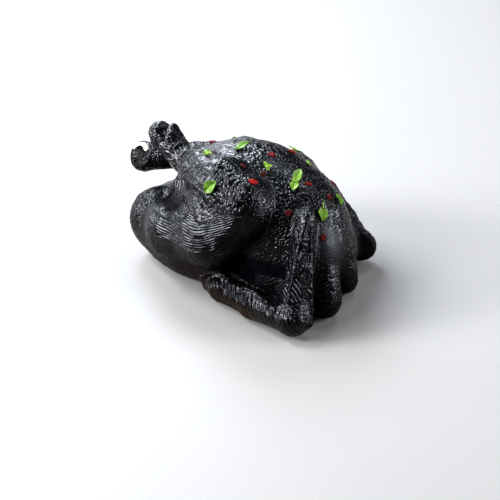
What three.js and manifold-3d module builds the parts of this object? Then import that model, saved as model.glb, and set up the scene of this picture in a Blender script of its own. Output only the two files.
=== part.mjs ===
// Whole black chicken, dressed and laid on its back: the legs are raised and cross at the tail, the wings
// are folded down to the ground and the neck skin hangs in folds. Its skin is one solid with dry chilli
// flakes stuck on it. Basil leaves and the pale cartilage at a cut leg end are pieces of their own.
// Millimetres, +Z up, neck towards +X, near side towards -Y, resting on z = 0.
import * as THREE from "three";
import { mergeVertices } from "three/addons/utils/BufferGeometryUtils.js";
import Module from "manifold-3d";

// Sizes of the model
const CENTRE = [7.18, -7.48];
const CELL = 4.6;
const REACH_LOW = [-95, -84, -7];
const REACH_HIGH = [110, 70, 108];
const RELAX_ROUNDS = 8;
const GAP = 0.3;
const FLOOR_ROUNDING = 3;

// The far hock: its middle, and the hollow that a ball leaves in its cut face
const FAR_HOCK = [-76.5, -3, 63];
const FAR_HOCK_R = 11;
const CUT_FACING = unit([-0.3, -0.8, 0.52]);
const CUT_BALL_R = 30;
const CUT_DEPTH = 6;
const CUT_ROUNDING = 1.2;

// The cartilage crescent round the top of the cut face, its angles in degrees counted from the right
const CARTILAGE = { ringR: 8.2, forward: 6.6, from: 172, sweep: 130, thin: 0.9, swell: 1.15 };
const CARTILAGE_STATIONS = 9;
const CARTILAGE_SIDES = 8;

// Trimmings
const FLAKE_THICK = 2.2;
const FLAKE_RISE = 0.1;
const LEAF_THICK = 0.7;
const LEAF = { cup: 0.6, arch: 0.5, wave: 0.5, from: -0.6, tilt: 8, turn: 0 };
const BIG_LEAF = 7;
const BUD_R = 1.2;
const STALK_R = 0.5;

// The trunk: the middle and half sizes of each body, and how broadly it runs into those before it
const TRUNK = {
  breast: { at: [14, -1, 45], half: [62, 48, 50], reach: 12 },
  back: { at: [-2, 0, 27], half: [70, 46, 31], reach: 12 },
  crop: { at: [50, -6, 42], half: [40, 38, 40.5], reach: 12 },
  neckBase: { at: [66, -8, 31], half: [24, 31, 34.5], reach: 8 },
  nearShoulder: { at: [46, -22, 24], half: [38, 28, 24], reach: 8 },
  farShoulder: { at: [44, 22, 24], half: [38, 26, 24], reach: 8 },
  underNearWing: { at: [50, -33, 5], half: [39, 24, 10], reach: 5 },
  underFarWing: { at: [44, 28, 5], half: [34, 20, 10], reach: 5 },
  nearFlank: { at: [-9, -26, 19], half: [52, 27, 21.5], reach: 8 },
  farFlank: { at: [-6, 24, 19], half: [46, 25, 21.5], reach: 8 },
  nearButtock: { at: [-54, -19, 27], half: [21.5, 21, 23], reach: 7 },
  farButtock: { at: [-50, 18, 21], half: [18, 18, 18], reach: 8 },
};
const TAIL = [[[-50, 2, 28], 11], [[-57, 2, 36], 7.5]];

// Limbs: the middle line and the radius at each station, in order along the limb
const NEAR_THIGH = [[[-48, -21, 30], 20], [[-24, -36, 37], 23], [[8, -43, 47], 24.5], [[28, -38.5, 64], 21]];
const NEAR_SHANK = [[[28, -38, 72], 20.5], [[9, -34, 79], 18.5], [[-13, -25, 79.5], 13], [[-34, -17, 79], 9]];
const OUTER_KNUCKLE = [[[-34, -17, 80], 9], [[-56, -12.5, 90], 9.3]];
const INNER_KNUCKLE = [[[-36, -17, 81], 8.5], [[-45, -15, 91], 8]];
const FAR_THIGH = [[[-42, 20, 25], 17], [[-20, 32, 33], 22], [[8, 37, 42], 22], [[24, 34, 54], 19]];
const FAR_SHANK = [[[24, 33, 57], 19.5], [[-10, 24, 67], 15.5], [[-42, 13, 65], 10], [[-66, 1, 64.5], 8.5]];
const FAR_FLARE = [[[-66, 1, 64], 8.5], [FAR_HOCK, FAR_HOCK_R]];
const BROAD_FOLD = [[[58, -8, 66], 14], [[78, -20, 44], 13], [[90, -32, 12], 12]];
const NARROW_FOLD = [[[66, 6, 54], 9], [[83, 4, 36], 8.5], [[86.5, 2.5, 9], 9]];

// A wing: the radii along its arm, and the skin that is stretched between arm, shoulder and breast
const WING_RADII = { tip: 7.5, wrist: 9.5, fore: 9, elbow: 10, arm: 7, apex: 4 };
const PANEL_R = 3.5;
const WEB_R = 5.5;
const NEAR_WING = {
  apex: [72, -27, 68.5], arm: [79, -46, 41], elbow: [85, -65, 12], fore: [50, -59, 9.5],
  wrist: [21, -51, 10], tip: [9, -47, 8.5], panelLow: [94, -60, 11], panelIn: [76, -58, 28],
  webLow: [82, -58, 14], webIn: [56, -34, 20], webFront: [80, -34, 12],
};
const FAR_WING = {
  apex: [57, 27, 61], arm: [65, 36, 36], elbow: [75, 45, 13], fore: [46, 48, 10],
  wrist: [18, 42, 10], tip: [8, 40, 8.5], panelLow: [77, 45, 11], panelIn: [58, 50, 14],
  webLow: [73, 43, 13], webIn: [48, 30, 20], webFront: [76, 26, 16],
};

// Vector arithmetic on plain triples
function add(a, b) {
  return [a[0] + b[0], a[1] + b[1], a[2] + b[2]];
}

function sub(a, b) {
  return [a[0] - b[0], a[1] - b[1], a[2] - b[2]];
}

function scale(a, s) {
  return [a[0] * s, a[1] * s, a[2] * s];
}

function dot(a, b) {
  return a[0] * b[0] + a[1] * b[1] + a[2] * b[2];
}

function cross(a, b) {
  return [a[1] * b[2] - a[2] * b[1], a[2] * b[0] - a[0] * b[2], a[0] * b[1] - a[1] * b[0]];
}

function length(a) {
  return Math.hypot(a[0], a[1], a[2]);
}

function unit(a) {
  return scale(a, 1 / length(a));
}

function clamp(x, low, high) {
  return Math.min(Math.max(x, low), high);
}

// Distance of a point to simple bodies, negative inside
function ellipsoid(p, centre, radii) {
  const q = sub(p, centre);
  const k0 = Math.hypot(q[0] / radii[0], q[1] / radii[1], q[2] / radii[2]);
  const k1 = Math.hypot(q[0] / radii[0] ** 2, q[1] / radii[1] ** 2, q[2] / radii[2] ** 2);
  return (k0 * (k0 - 1)) / (k1 + 1e-9);
}

function taperedLimb(p, a, b, ra, rb) {
  const along = sub(b, a);
  const q = sub(p, a);
  const h = clamp(dot(q, along) / dot(along, along), 0, 1);
  return length(sub(q, scale(along, h))) - (ra + (rb - ra) * h);
}

function skinWeb(p, a, b, c, radius) {
  const sides = [[a, b], [b, c], [c, a]];
  const normal = cross(sub(b, a), sub(a, c));
  let within = 0;
  let nearest = Infinity;
  for (const [from, to] of sides) {
    const side = sub(to, from);
    const q = sub(p, from);
    within += Math.sign(dot(cross(side, normal), q));
    const gap = sub(scale(side, clamp(dot(side, q) / dot(side, side), 0, 1)), q);
    nearest = Math.min(nearest, dot(gap, gap));
  }
  const face = dot(normal, sub(p, a)) ** 2 / dot(normal, normal);
  return Math.sqrt(within < 2 ? nearest : face) - radius;
}

// Smooth joins: a fillet of about a quarter of the reach where two bodies meet
function blend(a, b, reach) {
  const h = Math.max(reach - Math.abs(a - b), 0) / reach;
  return Math.min(a, b) - h * h * reach * 0.25;
}

function trim(a, b, reach) {
  return -blend(-a, -b, reach);
}

function limb(p, stations, reach) {
  let d = Infinity;
  for (let i = 1; i < stations.length; i += 1) {
    const [a, ra] = stations[i - 1];
    const [b, rb] = stations[i];
    const piece = taperedLimb(p, a, b, ra, rb);
    d = i === 1 ? piece : blend(d, piece, reach);
  }
  return d;
}

function trunk(p) {
  let d = Infinity;
  for (const { at, half, reach } of Object.values(TRUNK)) {
    const body = ellipsoid(p, at, half);
    d = d === Infinity ? body : blend(d, body, reach);
  }
  return blend(d, limb(p, TAIL, 0), 5);
}

// The near leg: thigh, a thick knee, a drumstick rising to a two-knuckled hock
function nearLeg(p) {
  const hock = blend(limb(p, OUTER_KNUCKLE, 0), limb(p, INNER_KNUCKLE, 0), 3);
  const drumstick = blend(limb(p, NEAR_SHANK, 7), hock, 3);
  return blend(limb(p, NEAR_THIGH, 8), drumstick, 10);
}

// The far drumstick runs under the near one and ends in a flared, cut hock
function farDrumstick(p) {
  return blend(limb(p, FAR_SHANK, 6), limb(p, FAR_FLARE, 0), 3);
}

function cutFace(p) {
  const centre = add(FAR_HOCK, scale(CUT_FACING, CUT_BALL_R + CUT_DEPTH - 1));
  return CUT_BALL_R - length(sub(p, centre));
}

// A wing folded in a V: the upper arm comes down to the elbow and the lower arm lies along the ground
function wing(p, at) {
  const r = WING_RADII;
  const fore = [[at.tip, r.tip], [at.wrist, r.wrist], [at.fore, r.fore], [at.elbow, r.elbow]];
  const upper = [[at.apex, r.apex], [at.arm, r.arm], [at.elbow, r.elbow]];
  let d = blend(limb(p, fore, 5), limb(p, upper, 5), 4);
  d = blend(d, skinWeb(p, at.apex, at.panelLow, at.panelIn, PANEL_R), PANEL_R);
  d = blend(d, skinWeb(p, at.apex, at.webLow, at.webIn, WEB_R), PANEL_R);
  return blend(d, skinWeb(p, at.apex, at.webLow, at.webFront, WEB_R), PANEL_R);
}

function skin(p) {
  let d = trunk(p);
  d = blend(d, nearLeg(p), 5);
  d = blend(d, limb(p, FAR_THIGH, 8), 8);
  d = blend(d, farDrumstick(p), 4);
  d = trim(d, cutFace(p), CUT_ROUNDING);
  d = blend(d, wing(p, NEAR_WING), 4);
  d = blend(d, wing(p, FAR_WING), 4);
  d = blend(d, limb(p, BROAD_FOLD, 6), 6);
  d = blend(d, limb(p, NARROW_FOLD, 6), 4);
  return trim(d, -p[2], FLOOR_ROUNDING);
}

function slope(p) {
  const e = 0.4;
  const gx = skin([p[0] + e, p[1], p[2]]) - skin([p[0] - e, p[1], p[2]]);
  const gy = skin([p[0], p[1] + e, p[2]]) - skin([p[0], p[1] - e, p[2]]);
  const gz = skin([p[0], p[1], p[2] + e]) - skin([p[0], p[1], p[2] - e]);
  return [gx / (2 * e), gy / (2 * e), gz / (2 * e)];
}

function ontoSkin(p, steps) {
  let q = p;
  for (let i = 0; i < steps; i += 1) {
    const g = slope(q);
    q = sub(q, scale(g, skin(q) / Math.max(dot(g, g), 0.25)));
  }
  return q;
}

// Cube corners and edges, for turning the distance field into a closed skin of triangles
const CORNERS = [];
for (let i = 0; i < 8; i += 1) CORNERS.push([i & 1, (i >> 1) & 1, (i >> 2) & 1]);
const EDGES = [];
for (let a = 0; a < 8; a += 1) {
  for (const bit of [1, 2, 4]) if (!(a & bit)) EDGES.push([a, a | bit]);
}

function groups(mask, side) {
  const label = CORNERS.map((_, i) => (((mask >> i) & 1) === side ? i : -1));
  for (let round = 0; round < 8; round += 1) {
    for (const [a, b] of EDGES) {
      if (label[a] < 0 || label[b] < 0) continue;
      const low = Math.min(label[a], label[b]);
      label[a] = low;
      label[b] = low;
    }
  }
  return new Set(label.filter((x) => x >= 0)).size;
}

const PLAIN = Array.from({ length: 256 }, (_, mask) => groups(mask, 1) <= 1 && groups(mask, 0) <= 1);

class Grid {
  constructor(low, high, cell) {
    this.low = low;
    this.cell = cell;
    this.n = [0, 1, 2].map((k) => Math.ceil((high[k] - low[k]) / cell) + 1);
    this.value = new Float64Array(this.n[0] * this.n[1] * this.n[2]);
  }

  index(i, j, k) {
    return i + this.n[0] * (j + this.n[1] * k);
  }

  point(i, j, k) {
    return add(this.low, scale([i, j, k], this.cell));
  }

  each(shrink, visit) {
    for (let k = 0; k < this.n[2] - shrink; k += 1) {
      for (let j = 0; j < this.n[1] - shrink; j += 1) {
        for (let i = 0; i < this.n[0] - shrink; i += 1) visit(i, j, k);
      }
    }
  }

  fill(field) {
    this.each(0, (i, j, k) => {
      this.value[this.index(i, j, k)] = field(this.point(i, j, k)) || 1e-6;
    });
  }

  corners(i, j, k) {
    return CORNERS.map(([a, b, c]) => this.index(i + a, j + b, k + c));
  }

  mask(at) {
    return at.reduce((sum, index, n) => sum | (this.value[index] < 0 ? 1 << n : 0), 0);
  }

  // Where a cell is cut twice, the corner nearest the surface changes side, so that the skin stays simple
  settle() {
    for (let pass = 0; pass < 40; pass += 1) {
      let changed = 0;
      this.each(1, (i, j, k) => {
        const at = this.corners(i, j, k);
        if (PLAIN[this.mask(at)]) return;
        const nearest = at.reduce((a, b) => (Math.abs(this.value[b]) < Math.abs(this.value[a]) ? b : a));
        this.value[nearest] = this.value[nearest] < 0 ? 0.02 : -0.02;
        changed += 1;
      });
      if (!changed) return;
    }
  }
}

// One vertex in each cell that the surface crosses, one quad round each crossed edge
function surfaceNet(grid) {
  const vertexOf = new Map();
  const points = [];
  grid.each(1, (i, j, k) => {
    const at = grid.corners(i, j, k);
    const mask = grid.mask(at);
    if (mask === 0 || mask === 255) return;
    let sum = [0, 0, 0];
    let count = 0;
    for (const [a, b] of EDGES) {
      const va = grid.value[at[a]];
      const vb = grid.value[at[b]];
      if (va < 0 === vb < 0) continue;
      const t = va / (va - vb);
      sum = add(sum, add(scale(CORNERS[a], 1 - t), scale(CORNERS[b], t)));
      count += 1;
    }
    vertexOf.set(grid.index(i, j, k), points.length);
    points.push(add(grid.point(i, j, k), scale(sum, grid.cell / count)));
  });
  const triangles = [];
  const step = [[1, 0, 0], [0, 1, 0], [0, 0, 1]];
  grid.each(1, (i, j, k) => {
    if (i === 0 || j === 0 || k === 0) return;
    const here = grid.value[grid.index(i, j, k)] < 0;
    for (let axis = 0; axis < 3; axis += 1) {
      const next = step[axis];
      if (here === grid.value[grid.index(i + next[0], j + next[1], k + next[2])] < 0) continue;
      const u = step[(axis + 1) % 3];
      const v = step[(axis + 2) % 3];
      const ring = [[0, 0], [1, 0], [1, 1], [0, 1]].map(([a, b]) => {
        const at = [0, 1, 2].map((m) => [i, j, k][m] - a * u[m] - b * v[m]);
        return vertexOf.get(grid.index(...at));
      });
      const quad = here ? ring : [ring[0], ring[3], ring[2], ring[1]];
      const span = (a, b) => length(sub(points[quad[a]], points[quad[b]]));
      const turn = span(0, 2) > span(1, 3) ? [quad[1], quad[2], quad[3], quad[0]] : quad;
      triangles.push([turn[0], turn[1], turn[2]], [turn[0], turn[2], turn[3]]);
    }
  });
  return { points, triangles };
}

// Spreads the vertices evenly along the skin and puts each back on it
function relax(net) {
  const near = net.points.map(() => new Set());
  for (const [a, b, c] of net.triangles) {
    near[a].add(b).add(c);
    near[b].add(a).add(c);
    near[c].add(a).add(b);
  }
  for (let round = 0; round < RELAX_ROUNDS; round += 1) {
    net.points = net.points.map((p, i) => {
      let mean = [0, 0, 0];
      for (const j of near[i]) mean = add(mean, net.points[j]);
      const pull = scale(sub(scale(mean, 1 / near[i].size), p), 0.5);
      const normal = unit(slope(p));
      return ontoSkin(add(p, sub(pull, scale(normal, dot(pull, normal)))), 1);
    });
  }
}

function geometryOf(points, triangles) {
  const geometry = new THREE.BufferGeometry();
  geometry.setAttribute("position", new THREE.Float32BufferAttribute(points.flat(), 3));
  geometry.setIndex(triangles.flat());
  return geometry;
}

// Solids for joins and cuts
const wasm = await Module();
wasm.setup();

function solid(geometry) {
  const bare = geometry.clone();
  bare.deleteAttribute("normal");
  bare.deleteAttribute("uv");
  const merged = mergeVertices(bare, 1e-4);
  return new wasm.Manifold(new wasm.Mesh({
    numProp: 3,
    vertProperties: Float32Array.from(merged.attributes.position.array),
    triVerts: Uint32Array.from(merged.index.array),
  }));
}

function geometryFrom(manifold) {
  const mesh = manifold.getMesh();
  const geometry = new THREE.BufferGeometry();
  geometry.setAttribute("position", new THREE.BufferAttribute(Float32Array.from(mesh.vertProperties), 3));
  geometry.setIndex(Array.from(mesh.triVerts));
  geometry.translate(-CENTRE[0], -CENTRE[1], 0);
  geometry.computeVertexNormals();
  return geometry;
}

// A seeded draw, so that the unevenness is the same each time
function draws(seed) {
  let state = seed;
  return () => {
    state = (state * 1664525 + 1013904223) % 4294967296;
    return state / 4294967296;
  };
}

// A place on the skin: its point, the way out, and a heading along the skin
function perch(near, headingDegrees) {
  const at = ontoSkin(near, 6);
  const out = unit(slope(at));
  const east = unit(sub([1, 0, 0], scale(out, out[0])));
  const north = cross(out, east);
  const turn = (headingDegrees * Math.PI) / 180;
  const ahead = add(scale(east, Math.cos(turn)), scale(north, Math.sin(turn)));
  return { at, out, ahead, side: cross(out, ahead) };
}

function matrixAt(spot, rise) {
  const matrix = new THREE.Matrix4().makeBasis(
    new THREE.Vector3(...spot.ahead), new THREE.Vector3(...spot.side), new THREE.Vector3(...spot.out));
  return matrix.setPosition(...add(spot.at, scale(spot.out, rise)));
}

// Chilli flakes: flat, uneven chips, half sunk in the skin
function flake(near, heading, long, wide, random) {
  const chip = new THREE.IcosahedronGeometry(1, 0);
  chip.deleteAttribute("normal");
  chip.deleteAttribute("uv");
  const shape = mergeVertices(chip, 1e-4);
  const position = shape.attributes.position;
  for (let i = 0; i < position.count; i += 1) {
    const swell = 0.85 + 0.3 * random();
    position.setXYZ(i, position.getX(i) * swell * long * 0.5, position.getY(i) * swell * wide * 0.5,
      position.getZ(i) * FLAKE_THICK * 0.5);
  }
  return solid(shape.applyMatrix4(matrixAt(perch(near, heading), FLAKE_RISE)));
}

const FLAKES = [
  { near: [36.4, -37.8, 91], heading: 20, long: 7, wide: 5 },
  { near: [29.2, -2, 93.5], heading: 0, long: 6, wide: 4.5 },
  { near: [33.6, 17.2, 88.5], heading: 70, long: 6, wide: 4.5 },
  { near: [21.7, -27.2, 94.1], heading: 10, long: 4.5, wide: 4 },
  { near: [62, -7.3, 82.8], heading: 40, long: 5, wide: 4 },
  { near: [60.5, -31, 71], heading: 80, long: 5, wide: 4.5 },
  { near: [74.8, -1.9, 74], heading: -60, long: 5, wide: 4 },
  { near: [84.6, -26, 56.7], heading: -70, long: 5, wide: 4 },
  { near: [-33.6, 18.6, 77], heading: 0, long: 6.5, wide: 4.5 },
  { near: [33.4, -20.3, 88.2], heading: 0, long: 4.5, wide: 4 },
  { near: [8, 34, 78], heading: 30, long: 6, wide: 4.5 },
  { near: [62, 24, 68], heading: -40, long: 5, wide: 4 },
  { near: [-12, 50, 50], heading: 10, long: 5.5, wide: 4.5 },
];

// A leaf: a thin plate, cupped across and arched along, split alike on both faces
function leafPlate(shape) {
  const { long, wide, cup, arch, wave, steps } = shape;
  const rows = steps + 1;
  const points = [];
  for (const lift of [0, LEAF_THICK]) {
    for (let i = 0; i < rows; i += 1) {
      const t = i / steps;
      const half = wide * 0.5 * Math.max(Math.sin(Math.PI * t ** 0.85) ** 0.8, 0.09);
      for (const across of [-1, 0, 1]) {
        const rise = cup * Math.abs(across) * (half / wide) * 2 + arch * 4 * t * (1 - t);
        const ripple = wave * across * Math.sin(t * 7 + across);
        points.push([long * t, across * half, rise + ripple * (half / wide) + lift]);
      }
    }
  }
  const triangles = [];
  const at = (face, i, j) => face * rows * 3 + i * 3 + j;
  const quad = (a, b, c, d) => triangles.push([a, b, c], [a, c, d]);
  for (let i = 0; i < steps; i += 1) {
    for (let j = 0; j < 2; j += 1) {
      const [a, b, c, d] = [[i, j], [i + 1, j], [i + 1, j + 1], [i, j + 1]];
      quad(at(1, ...a), at(1, ...b), at(1, ...c), at(1, ...d));
      triangles.push([at(0, ...a), at(0, ...c), at(0, ...b)], [at(0, ...a), at(0, ...d), at(0, ...c)]);
    }
    quad(at(0, i, 0), at(0, i + 1, 0), at(1, i + 1, 0), at(1, i, 0));
    quad(at(0, i + 1, 2), at(0, i, 2), at(1, i, 2), at(1, i + 1, 2));
  }
  for (let j = 0; j < 2; j += 1) {
    quad(at(0, 0, j), at(1, 0, j), at(1, 0, j + 1), at(0, 0, j + 1));
    quad(at(0, steps, j), at(0, steps, j + 1), at(1, steps, j + 1), at(1, steps, j));
  }
  return geometryOf(points, triangles);
}

// A sprig: leaves fanned round a bud, or one leaf on a short stalk
function sprig(plan) {
  let whole = null;
  const join = (geometry) => {
    const piece = solid(geometry);
    whole = whole ? whole.add(piece) : piece;
  };
  for (const own of plan.leaves) {
    const leaf = { ...LEAF, steps: own.long > BIG_LEAF ? 6 : 3, ...own };
    const geometry = leafPlate(leaf).translate(leaf.from, 0, 0);
    geometry.rotateY(-THREE.MathUtils.degToRad(leaf.tilt));
    geometry.rotateZ(THREE.MathUtils.degToRad(leaf.turn));
    join(geometry);
  }
  if (plan.leaves.length > 1) {
    join(new THREE.SphereGeometry(BUD_R, 5, 3).scale(1, 1, 0.7).translate(0, 0, LEAF_THICK));
  }
  if (plan.stalk) {
    const middle = plan.leaves[0].from - plan.stalk * 0.5 + 0.8;
    const stalk = new THREE.CylinderGeometry(STALK_R, STALK_R, plan.stalk, 6).rotateZ(Math.PI / 2);
    join(stalk.translate(middle, 0, 0.6));
  }
  return whole;
}

const BASIL = {
  basil_top_leaf: {
    near: [7.5, -5, 95], heading: 62, leaves: [{ long: 12, wide: 6.5, from: -6, tilt: 10, cup: 1.2 }],
  },
  basil_star_sprig: {
    near: [-6.5, -27.5, 95], heading: 0,
    leaves: [
      { long: 6, wide: 3, turn: -22 }, { long: 6.5, wide: 3.2, turn: 150 },
      { long: 4.5, wide: 2.6, turn: 85 }, { long: 5.5, wide: 2.8, turn: 235 },
      { long: 5.5, wide: 3, turn: 280 },
    ],
  },
  basil_knee_leaf: {
    near: [12.4, -52.6, 87.3], heading: 49, leaves: [{ long: 11.5, wide: 8.5, from: -5.6, cup: 1.4 }],
  },
  basil_small_sprig: {
    near: [33.5, -14.7, 90.3], heading: 0,
    leaves: [
      { long: 6, wide: 3, turn: 150 }, { long: 4.5, wide: 3, turn: 65 }, { long: 4, wide: 2.6, turn: -50 },
    ],
  },
  basil_twin_sprig: {
    near: [54.5, -13.2, 84.5], heading: 0,
    leaves: [
      { long: 12.5, wide: 6, turn: 104, tilt: 5 }, { long: 9.5, wide: 6, turn: -72, tilt: 5 },
      { long: 4, wide: 2.6, turn: 175 }, { long: 3.6, wide: 2.4, turn: 20 },
    ],
  },
  basil_shoulder_sprig: {
    near: [31, 24, 87], heading: 0,
    leaves: [{ long: 6, wide: 3.4, turn: 100 }, { long: 5.5, wide: 3, turn: 190 }],
  },
  basil_tiny_sprig: {
    near: [48.5, 13.5, 85.3], heading: 0,
    leaves: [{ long: 4.4, wide: 2.8, turn: 130 }, { long: 4, wide: 2.6, turn: -20 }],
  },
  basil_neck_leaf: {
    near: [77.5, 5, 69], heading: -30, leaves: [{ long: 10.5, wide: 6.5, from: -5.2 }],
  },
  basil_stalked_leaf: {
    near: [78, -16.6, 69.1], heading: -62, leaves: [{ long: 11, wide: 7, from: -4.6 }], stalk: 4,
  },
  basil_far_leaf: {
    near: [20, 44, 66], heading: 160, leaves: [{ long: 11.5, wide: 7.5, from: -5.7 }],
  },
  basil_far_sprig: {
    near: [-20, 30, 72], heading: 30,
    leaves: [
      { long: 6, wide: 3.2, turn: 0 }, { long: 5.5, wide: 3, turn: 130 }, { long: 5, wide: 3, turn: 240 },
    ],
  },
};

// Cartilage: a tapered crescent bar let into the upper rim of the cut hock, or with room to spare its groove
function crescent(spare) {
  const { ringR, forward, from, sweep, thin, swell } = CARTILAGE;
  const up = unit(sub([0, 0, 1], scale(CUT_FACING, CUT_FACING[2])));
  const right = cross(up, CUT_FACING);
  const points = [];
  for (let i = 0; i < CARTILAGE_STATIONS; i += 1) {
    const t = i / (CARTILAGE_STATIONS - 1);
    const reach = (t - 0.5) * (1 + spare / 5) + 0.5;
    const angle = THREE.MathUtils.degToRad(from - sweep * reach);
    const radial = add(scale(right, Math.cos(angle)), scale(up, Math.sin(angle)));
    const centre = add(FAR_HOCK, add(scale(radial, ringR), scale(CUT_FACING, forward)));
    const thick = thin + swell * Math.sin(Math.PI * t) + spare;
    for (let j = 0; j < CARTILAGE_SIDES; j += 1) {
      const a = (2 * Math.PI * j) / CARTILAGE_SIDES;
      const side = add(scale(radial, Math.cos(a)), scale(CUT_FACING, Math.sin(a)));
      points.push(add(centre, scale(side, thick)));
    }
  }
  const triangles = [];
  const at = (i, j) => i * CARTILAGE_SIDES + (j % CARTILAGE_SIDES);
  const last = CARTILAGE_STATIONS - 1;
  for (let i = 1; i <= last; i += 1) {
    for (let j = 0; j < CARTILAGE_SIDES; j += 1) {
      triangles.push([at(i - 1, j), at(i - 1, j + 1), at(i, j + 1)], [at(i - 1, j), at(i, j + 1), at(i, j)]);
    }
  }
  for (let j = 1; j < CARTILAGE_SIDES - 1; j += 1) {
    triangles.push([at(0, 0), at(0, j + 1), at(0, j)], [at(last, 0), at(last, j), at(last, j + 1)]);
  }
  return solid(geometryOf(points, triangles));
}

// Builds the skin
const grid = new Grid(REACH_LOW, REACH_HIGH, CELL);
grid.fill(skin);
grid.settle();
const net = surfaceNet(grid);
relax(net);
let bird = solid(geometryOf(net.points, net.triangles));
bird = bird.subtract(crescent(GAP));
const random = draws(7);
for (const { near, heading, long, wide } of FLAKES) {
  bird = bird.add(flake(near, heading, long, wide, random));
}

// Lowers a piece along the way out of the skin until the gap to it is right
function settled(piece, out) {
  let here = piece.translate(...scale(out, 3));
  for (let i = 0; i < 6; i += 1) {
    const gap = bird.minGap(here, 8);
    here = here.translate(...scale(out, GAP - gap));
  }
  return here;
}

const MATERIALS = {
  skin: new THREE.MeshStandardMaterial({ color: 0x15161b, roughness: 0.35, metalness: 0 }),
  cartilage: new THREE.MeshStandardMaterial({ color: 0xe8e2d4, roughness: 0.45, metalness: 0 }),
  basil: new THREE.MeshStandardMaterial({ color: 0x6fae1c, roughness: 0.5, metalness: 0 }),
};

function node(name, manifold, material) {
  const mesh = new THREE.Mesh(geometryFrom(manifold), material);
  mesh.name = name;
  return mesh;
}

const chicken = new THREE.Group();
chicken.add(node("bird", bird, MATERIALS.skin));
chicken.add(node("hock_cartilage", crescent(0), MATERIALS.cartilage));
for (const [name, plan] of Object.entries(BASIL)) {
  const spot = perch(plan.near, plan.heading);
  const piece = sprig(plan).transform(matrixAt(spot, 0).elements);
  chicken.add(node(name, settled(piece, spot.out), MATERIALS.basil));
}

export default chicken;
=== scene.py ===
"""The looks of a whole black chicken, laid on its back on a plain pale floor.

The bird's form is worked out in millimetres in its own layout: the neck towards +X, the near side towards
-Y and the ground at z = 0. Every finished mesh is in metres, with the layout's middle at the origin.
"""

import logging
import math
from dataclasses import dataclass, field
from enum import Enum
from typing import Any, Iterable

import bpy
import numpy as np
from mathutils import Matrix, Vector, noise

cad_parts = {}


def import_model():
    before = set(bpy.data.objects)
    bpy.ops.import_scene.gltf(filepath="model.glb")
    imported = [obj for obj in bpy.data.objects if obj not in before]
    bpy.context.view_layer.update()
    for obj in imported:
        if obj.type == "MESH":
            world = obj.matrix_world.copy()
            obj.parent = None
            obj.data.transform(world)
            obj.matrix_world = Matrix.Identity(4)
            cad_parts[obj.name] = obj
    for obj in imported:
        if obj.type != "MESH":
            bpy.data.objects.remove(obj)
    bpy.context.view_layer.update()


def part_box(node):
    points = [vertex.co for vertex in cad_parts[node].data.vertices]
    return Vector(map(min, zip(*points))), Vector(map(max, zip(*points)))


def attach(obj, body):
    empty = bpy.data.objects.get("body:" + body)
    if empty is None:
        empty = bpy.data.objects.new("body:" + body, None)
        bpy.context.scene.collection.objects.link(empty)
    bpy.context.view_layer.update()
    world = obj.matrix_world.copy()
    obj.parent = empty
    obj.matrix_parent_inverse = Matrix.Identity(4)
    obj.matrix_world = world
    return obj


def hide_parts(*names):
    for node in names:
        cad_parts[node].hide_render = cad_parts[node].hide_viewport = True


log = logging.getLogger("chicken")

MM = 0.001
MIDDLE = np.array([7.18, -7.48, 0.0])
Triple = tuple[float, float, float]
Span = tuple[float, float]
Array = np.ndarray
Piece = bpy.types.Object
Finish = bpy.types.Material
Socket = bpy.types.NodeSocket


# Shaping


def ramp(values: Array, low: float, high: float) -> Array:
    """Rise smoothly from 0 at low to 1 at high, or fall where high is the smaller."""
    t = np.clip((values - low) / (high - low), 0.0, 1.0)
    return t * t * (3.0 - 2.0 * t)


def window(values: Array, low: float, high: float, edge: float) -> Array:
    """1 between low and high, and 0 beyond a soft edge on both sides."""
    return ramp(values, low - edge, low) * ramp(values, high + edge, high)


def blend(a: Array, b: Array, reach: float) -> Array:
    """The nearer of two distances, with a fillet of about a quarter of reach where they meet."""
    h = np.maximum(reach - np.abs(a - b), 0.0) / reach
    return np.minimum(a, b) - h * h * reach * 0.25


def trim(a: Array, b: Array, reach: float) -> Array:
    """The farther of two distances, rounded where they meet, which cuts one body with another."""
    return -blend(-a, -b, reach)


def unit(vector: Iterable[float]) -> Array:
    """The vector at length 1."""
    v = np.asarray(vector, float)
    return v / np.linalg.norm(v)


def ripple(points: Array, size: float, seed: float = 0.0) -> Array:
    """Smooth unevenness from about -1 to 1, in humps of that size, in a pattern shifted by the seed."""
    shifted = points / size + seed * 17.3
    return np.fromiter((noise.noise(p) for p in shifted.tolist()), float, len(points))


def to_segment(p: Array, start: Array, end: Array) -> tuple[Array, Array]:
    """Measure points against a straight line.

    Args:
        p: Places in millimetres, in rows.
        start: Where the line starts.
        end: Where it ends.

    Returns:
        How far along the line each point lies, from 0 to 1, and its squared distance to the line.
    """
    along = end - start
    q = p - start
    h = np.clip(q @ along / (along @ along), 0.0, 1.0)
    gap = q - h[:, None] * along
    return h, (gap * gap).sum(1)


@dataclass(frozen=True)
class Lump:
    """A rounded body: its middle, its half sizes and how broadly it runs into the bodies before it."""

    at: Triple
    half: Triple
    reach: float

    def distance(self, p: Array) -> Array:
        """The distance of each point to the body, negative inside.

        Args:
            p: Places in millimetres, in rows.

        Returns:
            One distance for each point.
        """
        q = p - np.asarray(self.at, p.dtype)
        half = np.asarray(self.half, p.dtype)
        k0 = np.sqrt(((q / half) ** 2).sum(1))
        k1 = np.sqrt(((q / half**2) ** 2).sum(1))
        return k0 * (k0 - 1.0) / (k1 + 1e-9)


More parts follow.
